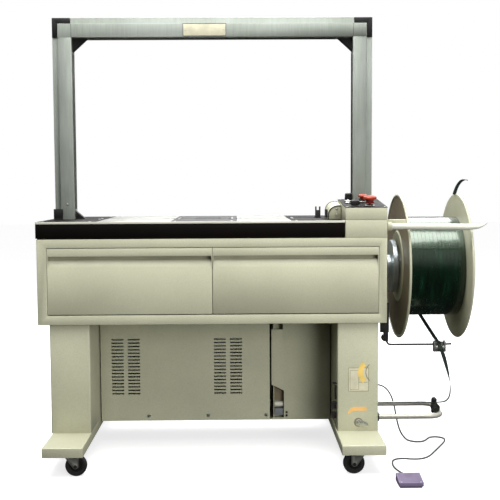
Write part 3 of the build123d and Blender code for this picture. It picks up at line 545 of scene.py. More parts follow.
def add_band(bm, line, across_at, section_at):
    """Flat section swept along a line of the row frame. across_at(point) is the section's wide
    direction; section_at(part) lists its corners in millimetres, for a part of the way from 0 to 1."""
    rings = []
    last = len(line) - 1
    for i, point in enumerate(line):
        tangent = (line[min(i + 1, last)] - line[max(i - 1, 0)]).normalized()
        across = across_at(point)
        across = (across - tangent * across.dot(tangent)).normalized()
        face = tangent.cross(across)
        rings.append([bm.verts.new(point + (across * u + face * v) * MM) for u, v in section_at(i / last)])
    bridge(bm, rings)
    bm.transform(TO_CABINET)


def strap_run():
    """Flat band: it lies along X over the brake arm's bar and along Y between the rollers."""
    route = [at(*point) for point in STRAP_ROUTE]
    line = smooth_line(route, CORD_STEPS)
    twist_from, twist_to = at(0, 0, 318).z, at(0, 0, 190).z

    def across_at(point):
        part = min(1, max(0, (twist_from - point.z) / (twist_from - twist_to)))
        turn = part * part * (3 - 2 * part) * math.pi / 2
        return Vector((math.cos(turn), math.sin(turn), 0))

    corners = ((-1, -0.6), (-0.96, -1), (0.96, -1), (1, -0.6), (1, 0.6), (0.96, 1), (-0.96, 1), (-1, 0.6))
    section = [(u * STRAP_WIDTH / 2, v * STRAP_THICKNESS / 2) for u, v in corners]
    bm = bmesh.new()
    add_band(bm, line, across_at, lambda part: section)
    band = piece("strap_band", bm, "green_strap", replaces=("strap_run",), look="dull_strap")


foot_switch_cord()
strap_run()


# ------------------------------------------------------------------ sheet-metal body
def louvres():
    """Rolled lips along the louvre slots, which keep fingers off the sharp edges."""
    front = extent("louvred_panel")[0].y
    lips = ((-0.7, 0.9), (5.7, 1.3))  # height over the slot's lower edge, radius
    bm = bmesh.new()
    rows, lowest, pitch = 17, 167.6, 11.41
    for column in (-345, -291, -3, 51):
        for row in range(rows):
            for height, radius in lips:
                z = lowest + pitch * row + height
                add_tube(bm, [(column + 1.5, front, z), (column + 38.5, front, z)], radius, 10)
    piece("louvre_lips", bm, "cream_paint")


def screw_heads(name, places, radius, slot="zinc"):
    """Pan-head screws with a recess, each in a washer; places are (point, outward direction)."""
    height = radius * 0.45
    outline = ((0, 0.35), (0.3, 0.35), (0.34, 1), (0.7, 0.88), (0.92, 0.55), (1, 0.1))
    profile = [(radius * across, height * up) for across, up in outline] + [(radius, -0.3), (0, -0.3)]
    washer = [(1.05 * radius, -0.2), (1.5 * radius, -0.2), (1.5 * radius, 0.5), (1.05 * radius, 0.5)]
    bm = bmesh.new()
    for point, direction in places:
        place = along(point, direction)
        add_lathe(bm, profile, place, 24)
        add_lathe(bm, washer, place, 24)
    piece(name, bm, slot)


def housing_screws():
    front = extent("louvred_panel")[0].y
    spots = [(x, 94) for x in (-223, -24, 171)]
    spots += [(x, 418) for x in (-330, -22, 150, 245, 360)]
    screw_heads("housing_screws", [((x, front, z), FORWARD) for x, z in spots], 3.6, "dark_steel")


def body_screws():
    """Fixings of the covers and the table plates."""
    back = extent("cabinet_panels")[1].y
    top = extent("table_plates")[1].z
    side = extent("cabinet_panels")[1].x
    places = []
    for x in range(-510, 511, 170):
        for z in (455, 686):
            places.append(((x, back, z), BACK))
    for y in (-210, 0, 210):
        for z in (455, 686):
            places.append(((-side, y, z), (-1, 0, 0)))
            if abs(y) > 100:
                places.append(((side, y, z), RIGHT))
    screw_heads("cover_screws", places, 4)
    places = []
    for x in (-525, -380, -345, -145, -115, 60, 92, 230, 262, 395):
        for y in (-232, -30, 30, 232):
            places.append(((x, y, top), UP))
    places = [p for p in places if not (p[0][0] > 360 and p[0][1] < -20)]
    screw_heads("table_screws", places, 3.2)


def rear_cover():
    """Access cover on the cabinet's back, with vent slots drawn as black blocks of painted shade, and a
    quarter-turn lock.
    """
    back = extent("cabinet_panels")[1].y
    face = back + 1.6
    lone("rear_access_cover", "cream_paint", add_block, (-250, 350), (back, face), (468, 672), bevel=0.7)
    slots, lips = bmesh.new(), bmesh.new()
    rows, lowest, pitch = 9, 520, 12
    for column in (-200, -140, 220, 280):
        for row in range(rows):
            z = lowest + pitch * row
            # Painted shade: each slot is a black block just proud of the cover, standing for the dark
            # opening.
            add_block(slots, (column, column + 44), (back + 1.4, back + 1.9), (z, z + 4.5))
            add_tube(lips, [(column - 1, back + 1.8, z + 5.5), (column + 45, back + 1.8, z + 5.5)], 1.3, 10)
    piece("rear_vent_slot_shade", slots, "black_plastic", look="recess_black")
    piece("rear_vent_lips", lips, "cream_paint")
    bm = bmesh.new()
    add_lathe(bm, [(0, 2.4), (9, 2.4), (10.5, 1), (10.5, 0), (0, 0)], along((50, face, 650), BACK), 40)
    add_block(bm, (49, 51), (back + 4, back + 4.6), (643, 657))
    piece("rear_cover_lock", bm, "zinc")
    spots = ((-238, 478), (50, 478), (338, 478), (-238, 662), (338, 662))
    screw_heads("rear_cover_screws", [((x, face, z), BACK) for x, z in spots], 3.6)


def label_frame(bm, x, z, y, width):
    """Thin rectangular outline on a front face."""
    inside = (z[0] + width, z[1] - width)
    for span in ((z[0], inside[0]), (inside[1], z[1])):
        add_block(bm, x, (y, y + 0.3), span)
    for span in ((x[0], x[0] + width), (x[1] - width, x[1])):
        add_block(bm, span, (y, y + 0.3), inside)


def front_plane(y):
    """Matrix whose X is +X, Y is +Z and Z points to the operator (-Y), at a depth y."""
    return Matrix(((1, 0, 0, 0), (0, 0, -1, y), (0, 1, 0, 0), (0, 0, 0, 1)))


def leg_marks():
    """Plain, wordless stickers on the right leg: a threading diagram and an arrow over the lever."""
    front = extent("legs")[0].y
    x, z = (424, 488), (217, 292)
    lone("leg_label", "cream_paint", add_block, x, (front - 0.25, front), z, look="label_cream")
    y = front - 0.5
    bm = bmesh.new()
    label_frame(bm, x, z, y, 1.2)
    label_frame(bm, (429, 457), (222, 284), y, 1)
    add_block(bm, (457, 485), (y, y + 0.3), (245, 246.2))
    piece("leg_label_lines", bm, "cream_paint", look="label_line")
    for name, centre, radii, angles, look in (
        ("leg_label_arc", (497, 277), (27, 43), (128, 232), "label_yellow"),
        ("leg_label_arc_edge", (513, 277), (33, 35), (132, 230), "label_line"),
    ):
        outline = arc(centre, radii[1], *angles, 24) + arc(centre, radii[0], *angles[::-1], 24)
        lone(name, "cream_paint", add_prism, outline, front_plane(y), 0.4, look=look)
    arrow = [(421, 147), (430, 161), (441, 167), (482, 167), (482, 155), (447, 155), (436, 152), (424, 144)]
    lone("leg_arrow", "cream_paint", add_prism, arrow, front_plane(front), 0.5, look="label_orange")
    # Painted shade: a thin brown disc round the lever's hub stands for its shaded recess.
    recess = [(0, 0.2), (12, 0.2), (13, 0.7), (14, 0.7), (14.6, 0), (0, 0)]
    place = along((LEVER_HUB[0], front, LEVER_HUB[1]), FORWARD)
    lone("lever_shade_disc", "dark_steel", add_lathe, recess, place, 48, look="brown_sheet")


def threading_lever():
    """Wing lever: a hub with a dark socket screw and a tapering finger."""
    low, high = extent("threading_lever")
    x, z = LEVER_HUB
    shape = ((0, 9.5), (14, 5), (26, -0.5), (30, -6), (29, -12.5), (24, -14.5), (11, -11), (0, -9.5))
    bm = bmesh.new()
    finger = [(x + across, z + up) for across, up in shape]
    add_prism(bm, finger, front_plane(high.y - 0.5), high.y - low.y - 1)
    hub = [(5.1, 0.2), (10, 0.2), (10, 4), (8.5, 5), (5.1, 5)]
    add_lathe(bm, hub, along((x, high.y, z), FORWARD), 48)
    piece("wing_lever", bm, "zinc", "threading_lever", ("threading_lever",), 0.6)
    cap = [(0, 8.6), (2.2, 8.6), (2.4, 9.8), (4.6, 9.8), (5.6, 8.4), (5.6, 7.2), (0, 7.2)]
    lone("lever_cap", "black_plastic", add_lathe, cap, along((x, extent("legs")[0].y, z), FORWARD), 32)


def pool_fittings():
    """What shows in the window of the strap pool: a baffle, a bright roller, a grey block and stops."""
    bm = bmesh.new()
    add_block(bm, (198.5, 232), (-24, -22), (139, 206))
    add_prism(bm, [(198.5, 182), (232, 160), (232, 166), (198.5, 190)], front_plane(-26), 4)
    piece("pool_baffle", bm, "cream_paint", bevel=0.5, look="brown_sheet")
    roller = [(0, 0), (8, 0), (8.8, 1), (8.8, 29), (8, 30), (0, 30)]
    place = along((200, -28, 127), RIGHT)
    lone("pool_roller", "lamp_lens", add_lathe, roller, place, 40, look="white_paint")
    lone("pool_sensor", "machine_grey", add_block, (200, 231), (-38, -20), (91, 114), bevel=1.2)
    bm = bmesh.new()
    for z in (92, 103):
        stop = [(0, 0), (3.4, 0), (3.4, 3), (2.6, 4.2), (0, 4.2)]
        add_lathe(bm, stop, along((240, -45, z), FORWARD), 24)
    piece("pool_stops", bm, "black_plastic")


def leg_side_fittings():
    """Hinges and a catch of the housing on the right leg's inner face."""
    bm = bmesh.new()
    inner = extent("legs")[1].x - 128
    for low, high, depth in ((235, 239, 13), (185, 229, 6), (155, 177, 15), (125, 143, 15)):
        add_block(bm, (inner - depth, inner), (-215, -200), (low, high))
    piece("housing_hinges", bm, "dark_steel", bevel=0.8)


# ------------------------------------------------------------------ arch and table
def arch_details():
    """Blank name plate, strap flaps along the groove, and screws."""
    front = extent("arch_frame")[0].y
    x, z = (-97, 45), (1354.5, BEAM_Z[1])
    face = front - 0.8
    lone("name_plate", "stainless", add_block, x, (face, front), z, bevel=0.3, look="label_cream")
    bm = bmesh.new()
    label_frame(bm, x, z, front - 1.1, 1.6)
    piece("name_plate_edge", bm, "black_plastic", look="dark_steel")
    screw_heads("name_plate_screws", [((x, face, 1375), FORWARD) for x in (-90, 38)], 1.9)
    thick = 1.6
    bm = bmesh.new()
    for y in ((-12, -7.8), (7.8, 12)):
        for x in ((-POST_INNER, thick - POST_INNER), (POST_INNER - thick, POST_INNER)):
            add_block(bm, x, y, (790, 1300))
        add_block(bm, (-408, 408), y, (BEAM_Z[0] - thick, BEAM_Z[0]))
    piece("strap_flaps", bm, "black_plastic", bevel=0.4)
    places = []
    for x in (-485, 485):
        places.append(((x, front, 805), FORWARD))
        places += [((x, -front, z), BACK) for z in (805, 1300, 1368, 1384)]
    screw_heads("arch_screws", places, 3.4)


def table_edge():
    """Pale strip along the front edge of the work table, a painted highlight where light catches the edge."""
    front = extent("table_plates")[0].y
    y, z = (front - 0.8, front), (748.5, TABLE_TOP + 0.3)
    # Painted highlight: a white strip along the table's front edge.
    lone("table_edge_highlight_strip", "cream_paint", add_block, (-545, 411), y, z, bevel=0.25, look="white_paint")


def arch_seams():
    """Joint lines of the corner blocks, as narrow dark strips."""
    front = extent("arch_frame")[0].y
    width = 0.9
    bm = bmesh.new()
    for x in ((-POST_INNER - width, -POST_INNER), (POST_INNER, POST_INNER + width)):
        for y in ((front - 0.25, front), (-front, -front + 0.25)):
            add_block(bm, x, y, BEAM_Z)
    piece("arch_joint_lines", bm, "dark_steel")


def head_details():
    """Gripper teeth, plugs, and the wear strips along the strap slot."""
    top = extent("anvil_slide")[1].z
    bm = bmesh.new()
    for x in range(-50, 14, 4):
        for y in ((3, 8), (-8, -3)):
            add_block(bm, (x, x + 2), y, (top - 0.5, top + 0.2))
    piece("gripper_teeth", bm, "dark_steel", "anvil_slide")
    plug = [(0, 0.9), (4.2, 0.9), (4.8, 0.3), (4.8, -0.2), (0, -0.2)]
    bm = bmesh.new()
    for x in (-110, 55):
        for y in (-40, 40):
            add_lathe(bm, plug, along((x, y, TABLE_TOP), UP), 28)
    piece("head_plugs", bm, "dark_steel")
    bm = bmesh.new()
    for y in ((-7.4, -7), (7, 7.4)):
        for x in ((-360, -131), (76, 246)):
            add_block(bm, x, y, (749.5, TABLE_TOP + 0.4))
    piece("slot_wear_strips", bm, "dark_steel", bevel=0.15)


# ------------------------------------------------------------------ controls
def panel_matrix(x, y):
    """Place on the sloping panel's face with Z along its normal."""
    front_y, front_z = PANEL_FRONT
    normal = Vector((0, -PANEL_RISE, PANEL_RUN)).normalized()
    across = Vector(RIGHT)
    turn = Matrix((across, normal.cross(across), normal)).transposed().to_4x4()
    return Matrix.Translation((x, y, front_z + PANEL_RISE * (y - front_y) / PANEL_RUN)) @ turn


def mushroom(name, node, place, cap, neck):
    """Push button: red mushroom cap on a darker neck; cap and neck are (radius, low, high)."""
    radius, low, high = cap
    crown = ((0.35, 0.2), (0.68, 1.3), (0.88, 3.2), (0.97, 5.6), (1, 8))
    profile = [(0, high)] + [(radius * part, high - drop) for part, drop in crown]
    profile += [(radius, low + 1.6), (0.96 * radius, low + 0.3), (0.9 * radius, low), (0, low)]
    lone(name + "_cap", "red_plastic", add_lathe, profile, place, 72, body=node, replaces=(node,))
    radius, low, high = neck
    profile = [(0, low - 20), (5, low - 20), (5, low), (radius, low), (radius, low + 4)]
    profile += [(0.92 * radius, low + 5), (0.92 * radius, high), (0, high)]
    lone(name + "_neck", "red_plastic", add_lathe, profile, place, 56, body=node, look="dark_red")


def grip_knob(name, node, place, radius, top, ribs, dome):
    """Knob with grip ribs round it and a white pointer line."""
    bm = bmesh.new()
    levels = [(1, 3.6), (1, 7), (0.94, top - dome), (0.86, top - 0.45 * dome), (0.6, top - 0.08 * dome)]
    steps = ribs * 6
    rings = []
    for factor, height in levels:
        ring = []
        for step in range(steps):
            turn = 2 * math.pi * step / steps
            groove = 0.94 + 0.06 * min(1, 1.6 * abs(math.cos(ribs * turn / 2)))
            reach = radius * factor * (groove if height < top - 0.3 * dome else 0.97)
            ring.append(bm.verts.new(on_circle(place, reach, turn, height)))
        rings.append(ring)
    bridge(bm, rings)
    add_lathe(bm, [(0, -14), (4.9, -14), (4.9, 3.6), (0, 3.6)], place, 32)
    piece(name + "_grip", bm, "black_plastic", node, (node,))
    bm = bmesh.new()
    corners = [(-0.7, 0.2 * radius), (0.7, 0.2 * radius), (0.7, 0.56 * radius), (-0.7, 0.56 * radius)]
    add_prism(bm, corners, place @ Matrix.Translation((0, 0, top - 0.08 * dome - 0.1)), 0.4)
    piece(name + "_pointer", bm, "lamp_lens", node, look="white_paint")


def controls():
    stop, reset, timer, selector = [panel_matrix(*spot) for spot in CONTROL_SPOTS.values()]
    mushroom("stop", "stop_button", stop, (20.5, 20, 32), (14, 8, 21))
    mushroom("reset", "reset_button", reset, (15, 15, 25), (10, 8, 16))
    grip_knob("timer", "timer_knob", timer, 15, 19, 14, 6)
    grip_knob("selector", "selector_knob", selector, 13, 24.5, 12, 1.5)
    lamp = panel_matrix(432, -150)
    bezel = [(6.6, 0), (9, 0), (9, 2.4), (8, 3.6), (6.6, 3.6)]
    lone("lamp_bezel", "zinc", add_lathe, bezel, lamp, 40)
    dome = [(0, -12), (5, -12), (5, 0), (6.4, 0)] + arc((0, 5), 6.4, 0, 84, 7) + [(0, 11.4)]
    lone("lamp_dome", "lamp_lens", add_lathe, dome, lamp, 40, replaces=("indicator_lamp",))
    bm = bmesh.new()
    for place in (stop, reset, timer, selector):
        add_lathe(bm, [(11.3, 0), (14, 0), (14, 1), (13, 1.8), (11.3, 1.8)], place, 48)
    piece("control_bezels", bm, "zinc")
    normal = (0, -PANEL_RISE, PANEL_RUN)
    corners = [(x, y) for x in (419, 536) for y in (-243, -45)]
    places = [(panel_matrix(x, y).to_translation(), normal) for x, y in corners]
    screw_heads("panel_corner_screws", places, 2.4)


def hood_details():
    """Dark edge trim that follows the hood's curved left side, its front screws and its strap guide."""
    low, high = extent("chute_hood")
    radius = 30
    drop = PANEL_RISE / PANEL_RUN * (high.y - low.y)
    bm = bmesh.new()
    for y, top in ((low.y, high.z - drop), (high.y, high.z)):
        bend = arc((low.x + radius, top - radius), radius, 180, 90, 12)
        line = [(low.x, y, TABLE_TOP)] + [(x, y, z) for x, z in bend] + [(high.x - 1, y, top)]
        add_tube(bm, line, 1.7, 10)
    piece("hood_edge_trim", bm, "black_plastic")
    screw_heads("hood_screws", [((low.x + 26, low.y, z), FORWARD) for z in (770, 788)], 2.6)
    x, y = (low.x - 3, low.x), (low.y + 30, low.y + 80)
    lone("hood_strap_guide", "dark_steel", add_block, x, y, (760, 786), bevel=0.8)


# ------------------------------------------------------------------ reel
def on_spindle(node):
    """Both ends and the radius of a round part on the reel's spindle, and its lathe's matrix."""
    low, high = extent(node)
    return low.x, high.x, (high.z - low.z) / 2, along((0, 0, (low.z + high.z) / 2), RIGHT)


def reel_parts():
    """Flanges with rolled rims, the core between them, and a dark brown ring of painted shade on the left
    flange's outer face.
    """
    left, right, rim, place = on_spindle("strap_reel")
    sheet, depth = 5.2, 8
    face = [(38.5, 0), (rim - 7, 0), (rim - 2, 0.6), (rim, 2.6), (rim, 5.6), (rim - 2, 7.6), (rim - 6, depth)]
    face += [(rim - 8.5, sheet), (120, sheet), (117.5, 6.2), (116, depth), (112, depth), (110, 7), (38.5, 7)]
    left, right = left + depth, right - depth
    bm = bmesh.new()
    for inner, outward in ((left, -1), (right, 1)):
        add_lathe(bm, [(radius, inner + outward * out) for radius, out in face], place, 144)
    add_lathe(bm, [(94, left), (100, left), (100, right), (94, right)], place, 96)
    piece("reel_flanges", bm, "cream_paint", "reel", ("strap_reel",))
    # Painted shade: a dark brown ring on the left flange's outer face, which stands in the cabinet's shade.
    disc = left - sheet
    ring = [(121, disc), (rim - 9, disc), (rim - 9, disc - 0.3), (121, disc - 0.3)]
    lone("reel_flange_shade_ring", "cream_paint", add_lathe, ring, place, 144, body="reel", look="brown_sheet")


def coil():
    """Turns of strap side by side, each slightly off its neighbour, over a solid body."""
    left, right, radius, place = on_spindle("strap_coil")
    luck = random.Random(11)
    turns = 15
    pitch = (right - left) / turns
    profile = [(101, left)]
    for turn in range(turns):
        start = left + turn * pitch
        end = start + pitch
        reach = radius - luck.uniform(0.2, 0.6)
        tilt = luck.uniform(-0.06, 0.06)
        profile += [(reach - 0.6, start + 0.05), (reach + tilt, start + 0.3)]
        profile += [(reach - tilt, end - 0.3), (reach - 0.6, end - 0.05)]
    profile.append((101, right))
    own = {"body": "reel", "replaces": ("strap_coil",)}
    lone("strap_winding", "green_strap", add_lathe, profile, place, 160, **own)


def hub_parts():
    """Brake drum with its hub, and the clamp nut with three lobes."""
    left, right, drum, place = on_spindle("reel_hub")
    face = left + 11
    back = face + 18
    profile = [(12.2, left), (36, left), (38, left + 2), (38, face), (56, face), (62, face + 1.5)]
    profile += [(drum - 2, face + 1.5), (drum, face + 3.5), (drum, back - 2), (drum - 2, back)]
    profile += [(38.3, back), (37.8, right - 1.5), (36, right), (12.2, right)]
    lone("brake_drum", "turned_steel", add_lathe, profile, place, 96, body="reel", replaces=("reel_hub",))
    low, high = extent("reel_nut")
    bm = bmesh.new()
    ring = [(38.4, low.x), (52, low.x), (52, high.x - 3), (49, high.x), (38.4, high.x)]
    add_lathe(bm, ring, place, 72)
    lobe = [(0, 0), (13.5, 0), (15, -1.5), (15, -10), (0, -10)]
    for y, z in arc((0, place.translation.z), 47, 30, 270, 2):
        add_lathe(bm, lobe, along((high.x - 0.5, y, z), RIGHT), 40)
    piece("reel_clamp_nut", bm, "zinc", "reel", ("reel_nut",))


def strap_tail():
    """The strap's outer end, tucked over the outer flange and standing up from its rim."""
    route = ((809, 0, 830), (813, -1, 846), (822, -2, 866), (836, -3, 881), (853, -4, 879))

    def section_at(part):
        half = STRAP_WIDTH / 2 * (1 - 0.25 * part)
        return [(u * half, v * 0.9) for u, v in ((-1, -1), (1, -1), (1, 1), (-1, 1))]

    bm = bmesh.new()
    line = smooth_line([at(*point) for point in route], BEND_STEPS)
    add_band(bm, line, lambda point: Vector((1, 0.3, 0)), section_at)
    piece("strap_tail", bm, "green_strap", "reel", look="dull_strap")


# ------------------------------------------------------------------ side fittings
def guard_arm():
    """White tapering rod whose thin tip turns up."""
    spine = [(548, GUARD_Z), (560, GUARD_Z), (700, 733), (790, 731.6), (800, 731.5), (818, 731.9)]
    spine += [(832, 732.2), (842, 735), (850, 739), (855, 742.5), (858, 746)]
    girth = [10, 10, 10, 10, 10, 8.2, 6, 4.6, 3.8, 3.2, 2.6]
    bm = bmesh.new()
    add_tube(bm, [(x, GUARD_Y, z) for x, z in spine], girth, 32)
    piece("guard_rod", bm, "cream_paint", replaces=("guard_arm",), look="white_paint")
    socket = [(10.2, 0), (14, 0), (15, 1), (15, 13), (13.5, 15), (10.2, 15)]
    lone("guard_socket", "cream_paint", add_lathe, socket, along((545, GUARD_Y, GUARD_Z), RIGHT), 48)
    lone("guard_clamp", "cream_paint", add_block, (545.2, 606), (-223, -203), (743, 756), bevel=1)


def brake_details():
    """Brake arm: bent rod, pivot boss, strap guide with claws, its bar and its wing screw."""
    bends = ((565, 356), (570, 346), (574, 339.5), (583, ARM_Z), (600, ARM_Z), (726, ARM_Z))
    boss = [(4.1, -9), (10, -9), (11, -8), (11, 8), (10, 9), (4.1, 9)]
    bm = bmesh.new()
    add_tube(bm, smooth_line([(x, ARM_Y, z) for x, z in bends], BEND_STEPS), 3.1, 20)
    add_tube(bm, [(760, ARM_Y, ARM_Z), (783, ARM_Y, ARM_Z + 1)], 3.1, 20)
    add_lathe(bm, boss, along((ARM_PIVOT[0], ARM_Y, ARM_PIVOT[1]), BACK), 48)
    piece("brake_rod", bm, "dark_steel", "brake_arm", ("brake_arm",))
    outline = ((-7, 315), (-5, 313), (10, 313), (12, 315), (12, 344), (9, 347), (-4, 347), (-7, 343))
    cheek = [(ARM_Y + across, z) for across, z in outline]
    bm = bmesh.new()
    for x in (724, 759):
        add_prism(bm, cheek, Matrix(((0, 0, 1, x), (1, 0, 0, 0), (0, 1, 0, 0), (0, 0, 0, 1))), 5)
    add_block(bm, (729, 759), (ARM_Y - 5.5, ARM_Y + 10.5), (313.5, 317.5))
    add_block(bm, (729, 759), (ARM_Y + 3, ARM_Y + 11), (317.5, 345))
    for x in (727, 757):
        claw = [(x - 2.5, 345.5), (x + 2.5, 345.5), (x + 4, 350), (x + 2.5, 354), (x, 350)]
        add_prism(bm, claw, front_plane(ARM_Y + 2), 5)
    piece("strap_guide_cheeks", bm, "dark_steel", "brake_arm", bevel=0.8, look="worn_steel")
    bar = [(0, 0), (7, 0), (8, 1.2), (8, 28.8), (7, 30), (0, 30)]
    lone("strap_guide_bar", "zinc", add_lathe, bar, along((729, ARM_Y, 327), RIGHT), 40, body="brake_arm")
    bm = bmesh.new()
    screw = [(0, 0), (4.5, 0), (4.5, 5), (2.4, 6), (2.4, 9), (0, 9)]
    add_lathe(bm, screw, along((744, ARM_Y, 340.5), UP), 24)
    for turn in (-0.5, 0.5):
        tip = (744 + 13 * math.sin(turn), ARM_Y, 347)
        add_tube(bm, [(744, ARM_Y, 341.5), tip], [2, 1.2], 12)
    piece("guide_wing_screw", bm, "dark_steel", "brake_arm", bevel=0.2)


def spring_on_bracket():
    """Torsion spring on the brake arm's pivot pin."""
    coils, steps = 5, 20
    circle = arc(ARM_PIVOT, 7, 0, 360 * coils, coils * steps)
    bm = bmesh.new()
    add_tube(bm, [(x, -109 + 1.9 * i / steps, z) for i, (x, z) in enumerate(circle)], 0.8, 8)
    piece("brake_spring", bm, "zinc")


def guide_bar():
    """Bent bar from the leg, with a black bush, and the rear cheek that holds both roller pins."""
    end_x, front_y, rear_y, z = 731, -200, -28, 125
    route = [(LEG_X, front_y), (end_x - 42, front_y)]
    route += arc((end_x - 42, front_y + 42), 42, -90, 0, 12)[1:]
    route += arc((end_x - 34, rear_y - 34), 34, 0, 90, 12)[1:]
    route.append((LEG_X, rear_y))
    bm = bmesh.new()
    add_tube(bm, [(x, y, z) for x, y in route], 8, 28)
    piece("bent_guide_bar", bm, "stainless", replaces=("guide_bar",), look="bar_metal")
    bush = [(8.2, 0), (15.5, 0), (15.5, 5), (13.5, 8), (8.2, 8)]
    bm = bmesh.new()
    for y in (front_y, rear_y):
        add_lathe(bm, bush, along((LEG_X, y, z), RIGHT), 48)
    piece("guide_bar_bushes", bm, "black_plastic")
    plane_y = -146
    cheek = [(708, 122.5), (726, 122.5), (728.5, 126), (722, 158)]
    cheek += [(717, 172), (709, 173.5), (705.5, 168), (705.5, 126)]
    bm = bmesh.new()
    add_prism(bm, cheek, front_plane(plane_y), 4)
    for node in ("lower_roller", "upper_roller"):
        low, high = extent(node)
        centre = ((low.x + high.x) / 2, plane_y, (low.z + high.z) / 2)
        reach = plane_y - low.y
        pin = [(0, 0), (3.9, 0), (3.9, reach + 1), (3.2, reach + 2), (0, reach + 2)]
        add_lathe(bm, pin, along(centre, FORWARD), 32)
    piece("roller_bracket", bm, "dark_steel", bevel=0.5)


def rollers():
    """Black guide rollers with rounded edges and a groove in each face."""
    for node in ("lower_roller", "upper_roller"):
        low, high = extent(node)
        radius, width = (high.z - low.z) / 2, high.y - low.y
        place = along(((low.x + high.x) / 2, low.y, (low.z + high.z) / 2), BACK)
        half = [(4.2, 0), (0.45 * radius + 1, 0), (0.5 * radius + 1.2, 1.2), (0.78 * radius, 1.2)]
        half += [(0.82 * radius, 0), (radius - 1, 0), (radius - 0.1, 1.2)]
        profile = both_faces(half, width)
        lone(node + "_wheel", "black_plastic", add_lathe, profile, place, 56, body=node, replaces=(node,))


def fittings():
    """Gland, mains inlet, strap entry and relief, with ribs and a tapered sleeve."""
    gland = [(0, 0), (12.5, 0), (12.5, 2), (11, 2.6), (11, 7)]
    gland += [(8.6, 8.5), (8, 14), (5.4, 15), (4.6, 25), (0, 25)]
    inlet = [(0, 0), (17, 0), (17, 3), (14, 4), (13, 6), (9, 7), (9, 14), (6.5, 14), (6.5, 9), (0, 9)]
    relief = [(0, 0), (4.5, 0), (4.5, 3), (3.9, 4), (4.2, 5)]
    relief += [(3.7, 6), (4, 7), (3.4, 8.5), (3.2, 11.4), (0, 11.4)]
    bm = bmesh.new()
    add_lathe(bm, gland, along((LEG_X, 20, 180), RIGHT), 12)
    add_lathe(bm, inlet, along((-440, 248, 520), BACK), 40)
    add_lathe(bm, relief, along((575, -453.5, FLOOR + 5), BACK), 28)
    piece("glands", bm, "black_plastic", replaces=("side_fittings",))
    y, z = (-174, -167.5, -152.5, -146), (150.8, 156.3, 163.3, 168.8)
    bm = bmesh.new()
    for i in (0, 2):
        add_block(bm, (LEG_X, LEG_X + 6), y[i:i + 2], (z[0], z[3]))
        add_block(bm, (LEG_X, LEG_X + 6), y[1:3], z[i:i + 2])
    piece("strap_entry", bm, "black_plastic", bevel=0.6)
    # Painted shade: a thin black sheet fills the strap entry's opening.
    throat = ((LEG_X, LEG_X + 0.4), y[1:3], z[1:3])
    lone("strap_entry_throat_shade", "black_plastic", add_block, *throat, look="recess_black")


# ------------------------------------------------------------------ castors and foot switch
def castors():
    """Tyre, wheel core and axle bolts of each castor."""
    bolt = [(0, 1.2), (2.6, 1.2), (3, 0.2), (5.8, 0.2), (6.4, -0.8), (6.4, -4.2), (0, -4.2)]
    for corner in ("front_left", "front_right", "rear_left", "rear_right"):
        node = "caster_wheel_" + corner
        low, high = extent(node)
        radius, width = (high.z - low.z) / 2, high.y - low.y
        x, z = (low.x + high.x) / 2, (low.z + high.z) / 2
        place = along((x, low.y, z), BACK)
        half = [(20.5, 0.8), (radius - 4, 0.4), (radius - 1.6, 2.2), (radius - 0.3, 5)]
        tyre = both_faces(half, width, [(radius, width / 2)])
        lone("tyre_" + corner, "tyre_rubber", add_lathe, tyre, place, 80, body=node, replaces=(node,))
        core = both_faces([(4.1, 0), (8, 0), (9, 3), (18, 3), (20.5, 0.8)], width)
        lone("wheel_core_" + corner, "black_plastic", add_lathe, core, place, 64, body=node)
        bm = bmesh.new()
        for way in (-1, 1):
            spot = (x, (low.y + high.y) / 2 + way * 19.4, z)
            add_lathe(bm, bolt, along(spot, (0, way, 0)), 6)
        piece("axle_bolts_" + corner, bm, "dark_steel", "caster_fork_" + corner)


def foot_switch():
    """Tread ribs and screws of the purple pedal."""
    low, high = extent("foot_pedal")
    slope = 10 / (high.y - low.y)
    bm = bmesh.new()
    for row in range(8):
        y = low.y + 9 + 6.4 * row
        z = FLOOR + 16 + slope * (y - low.y)
        add_tube(bm, [(low.x + 6, y, z), (high.x - 6, y, z)], 1.1, 12)
    piece("pedal_ribs", bm, "purple_plastic", "foot_pedal")
    screw = [(0, 0.9), (1.7, 0.9), (2, 0.3), (2, -0.2), (0, -0.2)]
    bm = bmesh.new()
    for x in (low.x + 8, high.x - 8):
        add_lathe(bm, screw, along((x, low.y + 5, FLOOR + 16.8), (0, -0.16, 1)), 20)
    piece("pedal_screws", bm, "zinc", "foot_pedal")


# ------------------------------------------------------------------ inside
def inside():
    """Motor fins, and relays on the electrical box, inside the cabinet."""
    motor_z, fins, thick = 660, 24, 1.6
    fin = [(150, 43.5), (240, 43.5), (238, 47.5), (152, 47.5)]
    bm = bmesh.new()
    for i in range(fins):
        turn = Matrix.Translation((0, 0, motor_z)) @ Matrix.Rotation(2 * math.pi * i / fins, 4, "X")
        add_prism(bm, fin, turn @ front_plane(thick / 2), thick)
    piece("motor_fins", bm, "machine_grey")
    low = extent("electrical_box")[0]
    bm = bmesh.new()
    for x in range(-320, 60, 60):
        add_block(bm, (x, x + 44), (low.y - 4, low.y), (150, 230))
        add_block(bm, (x + 6, x + 38), (low.y - 9, low.y - 4), (165, 215))
    piece("relays", bm, "machine_grey", bevel=1, look="black_plastic")


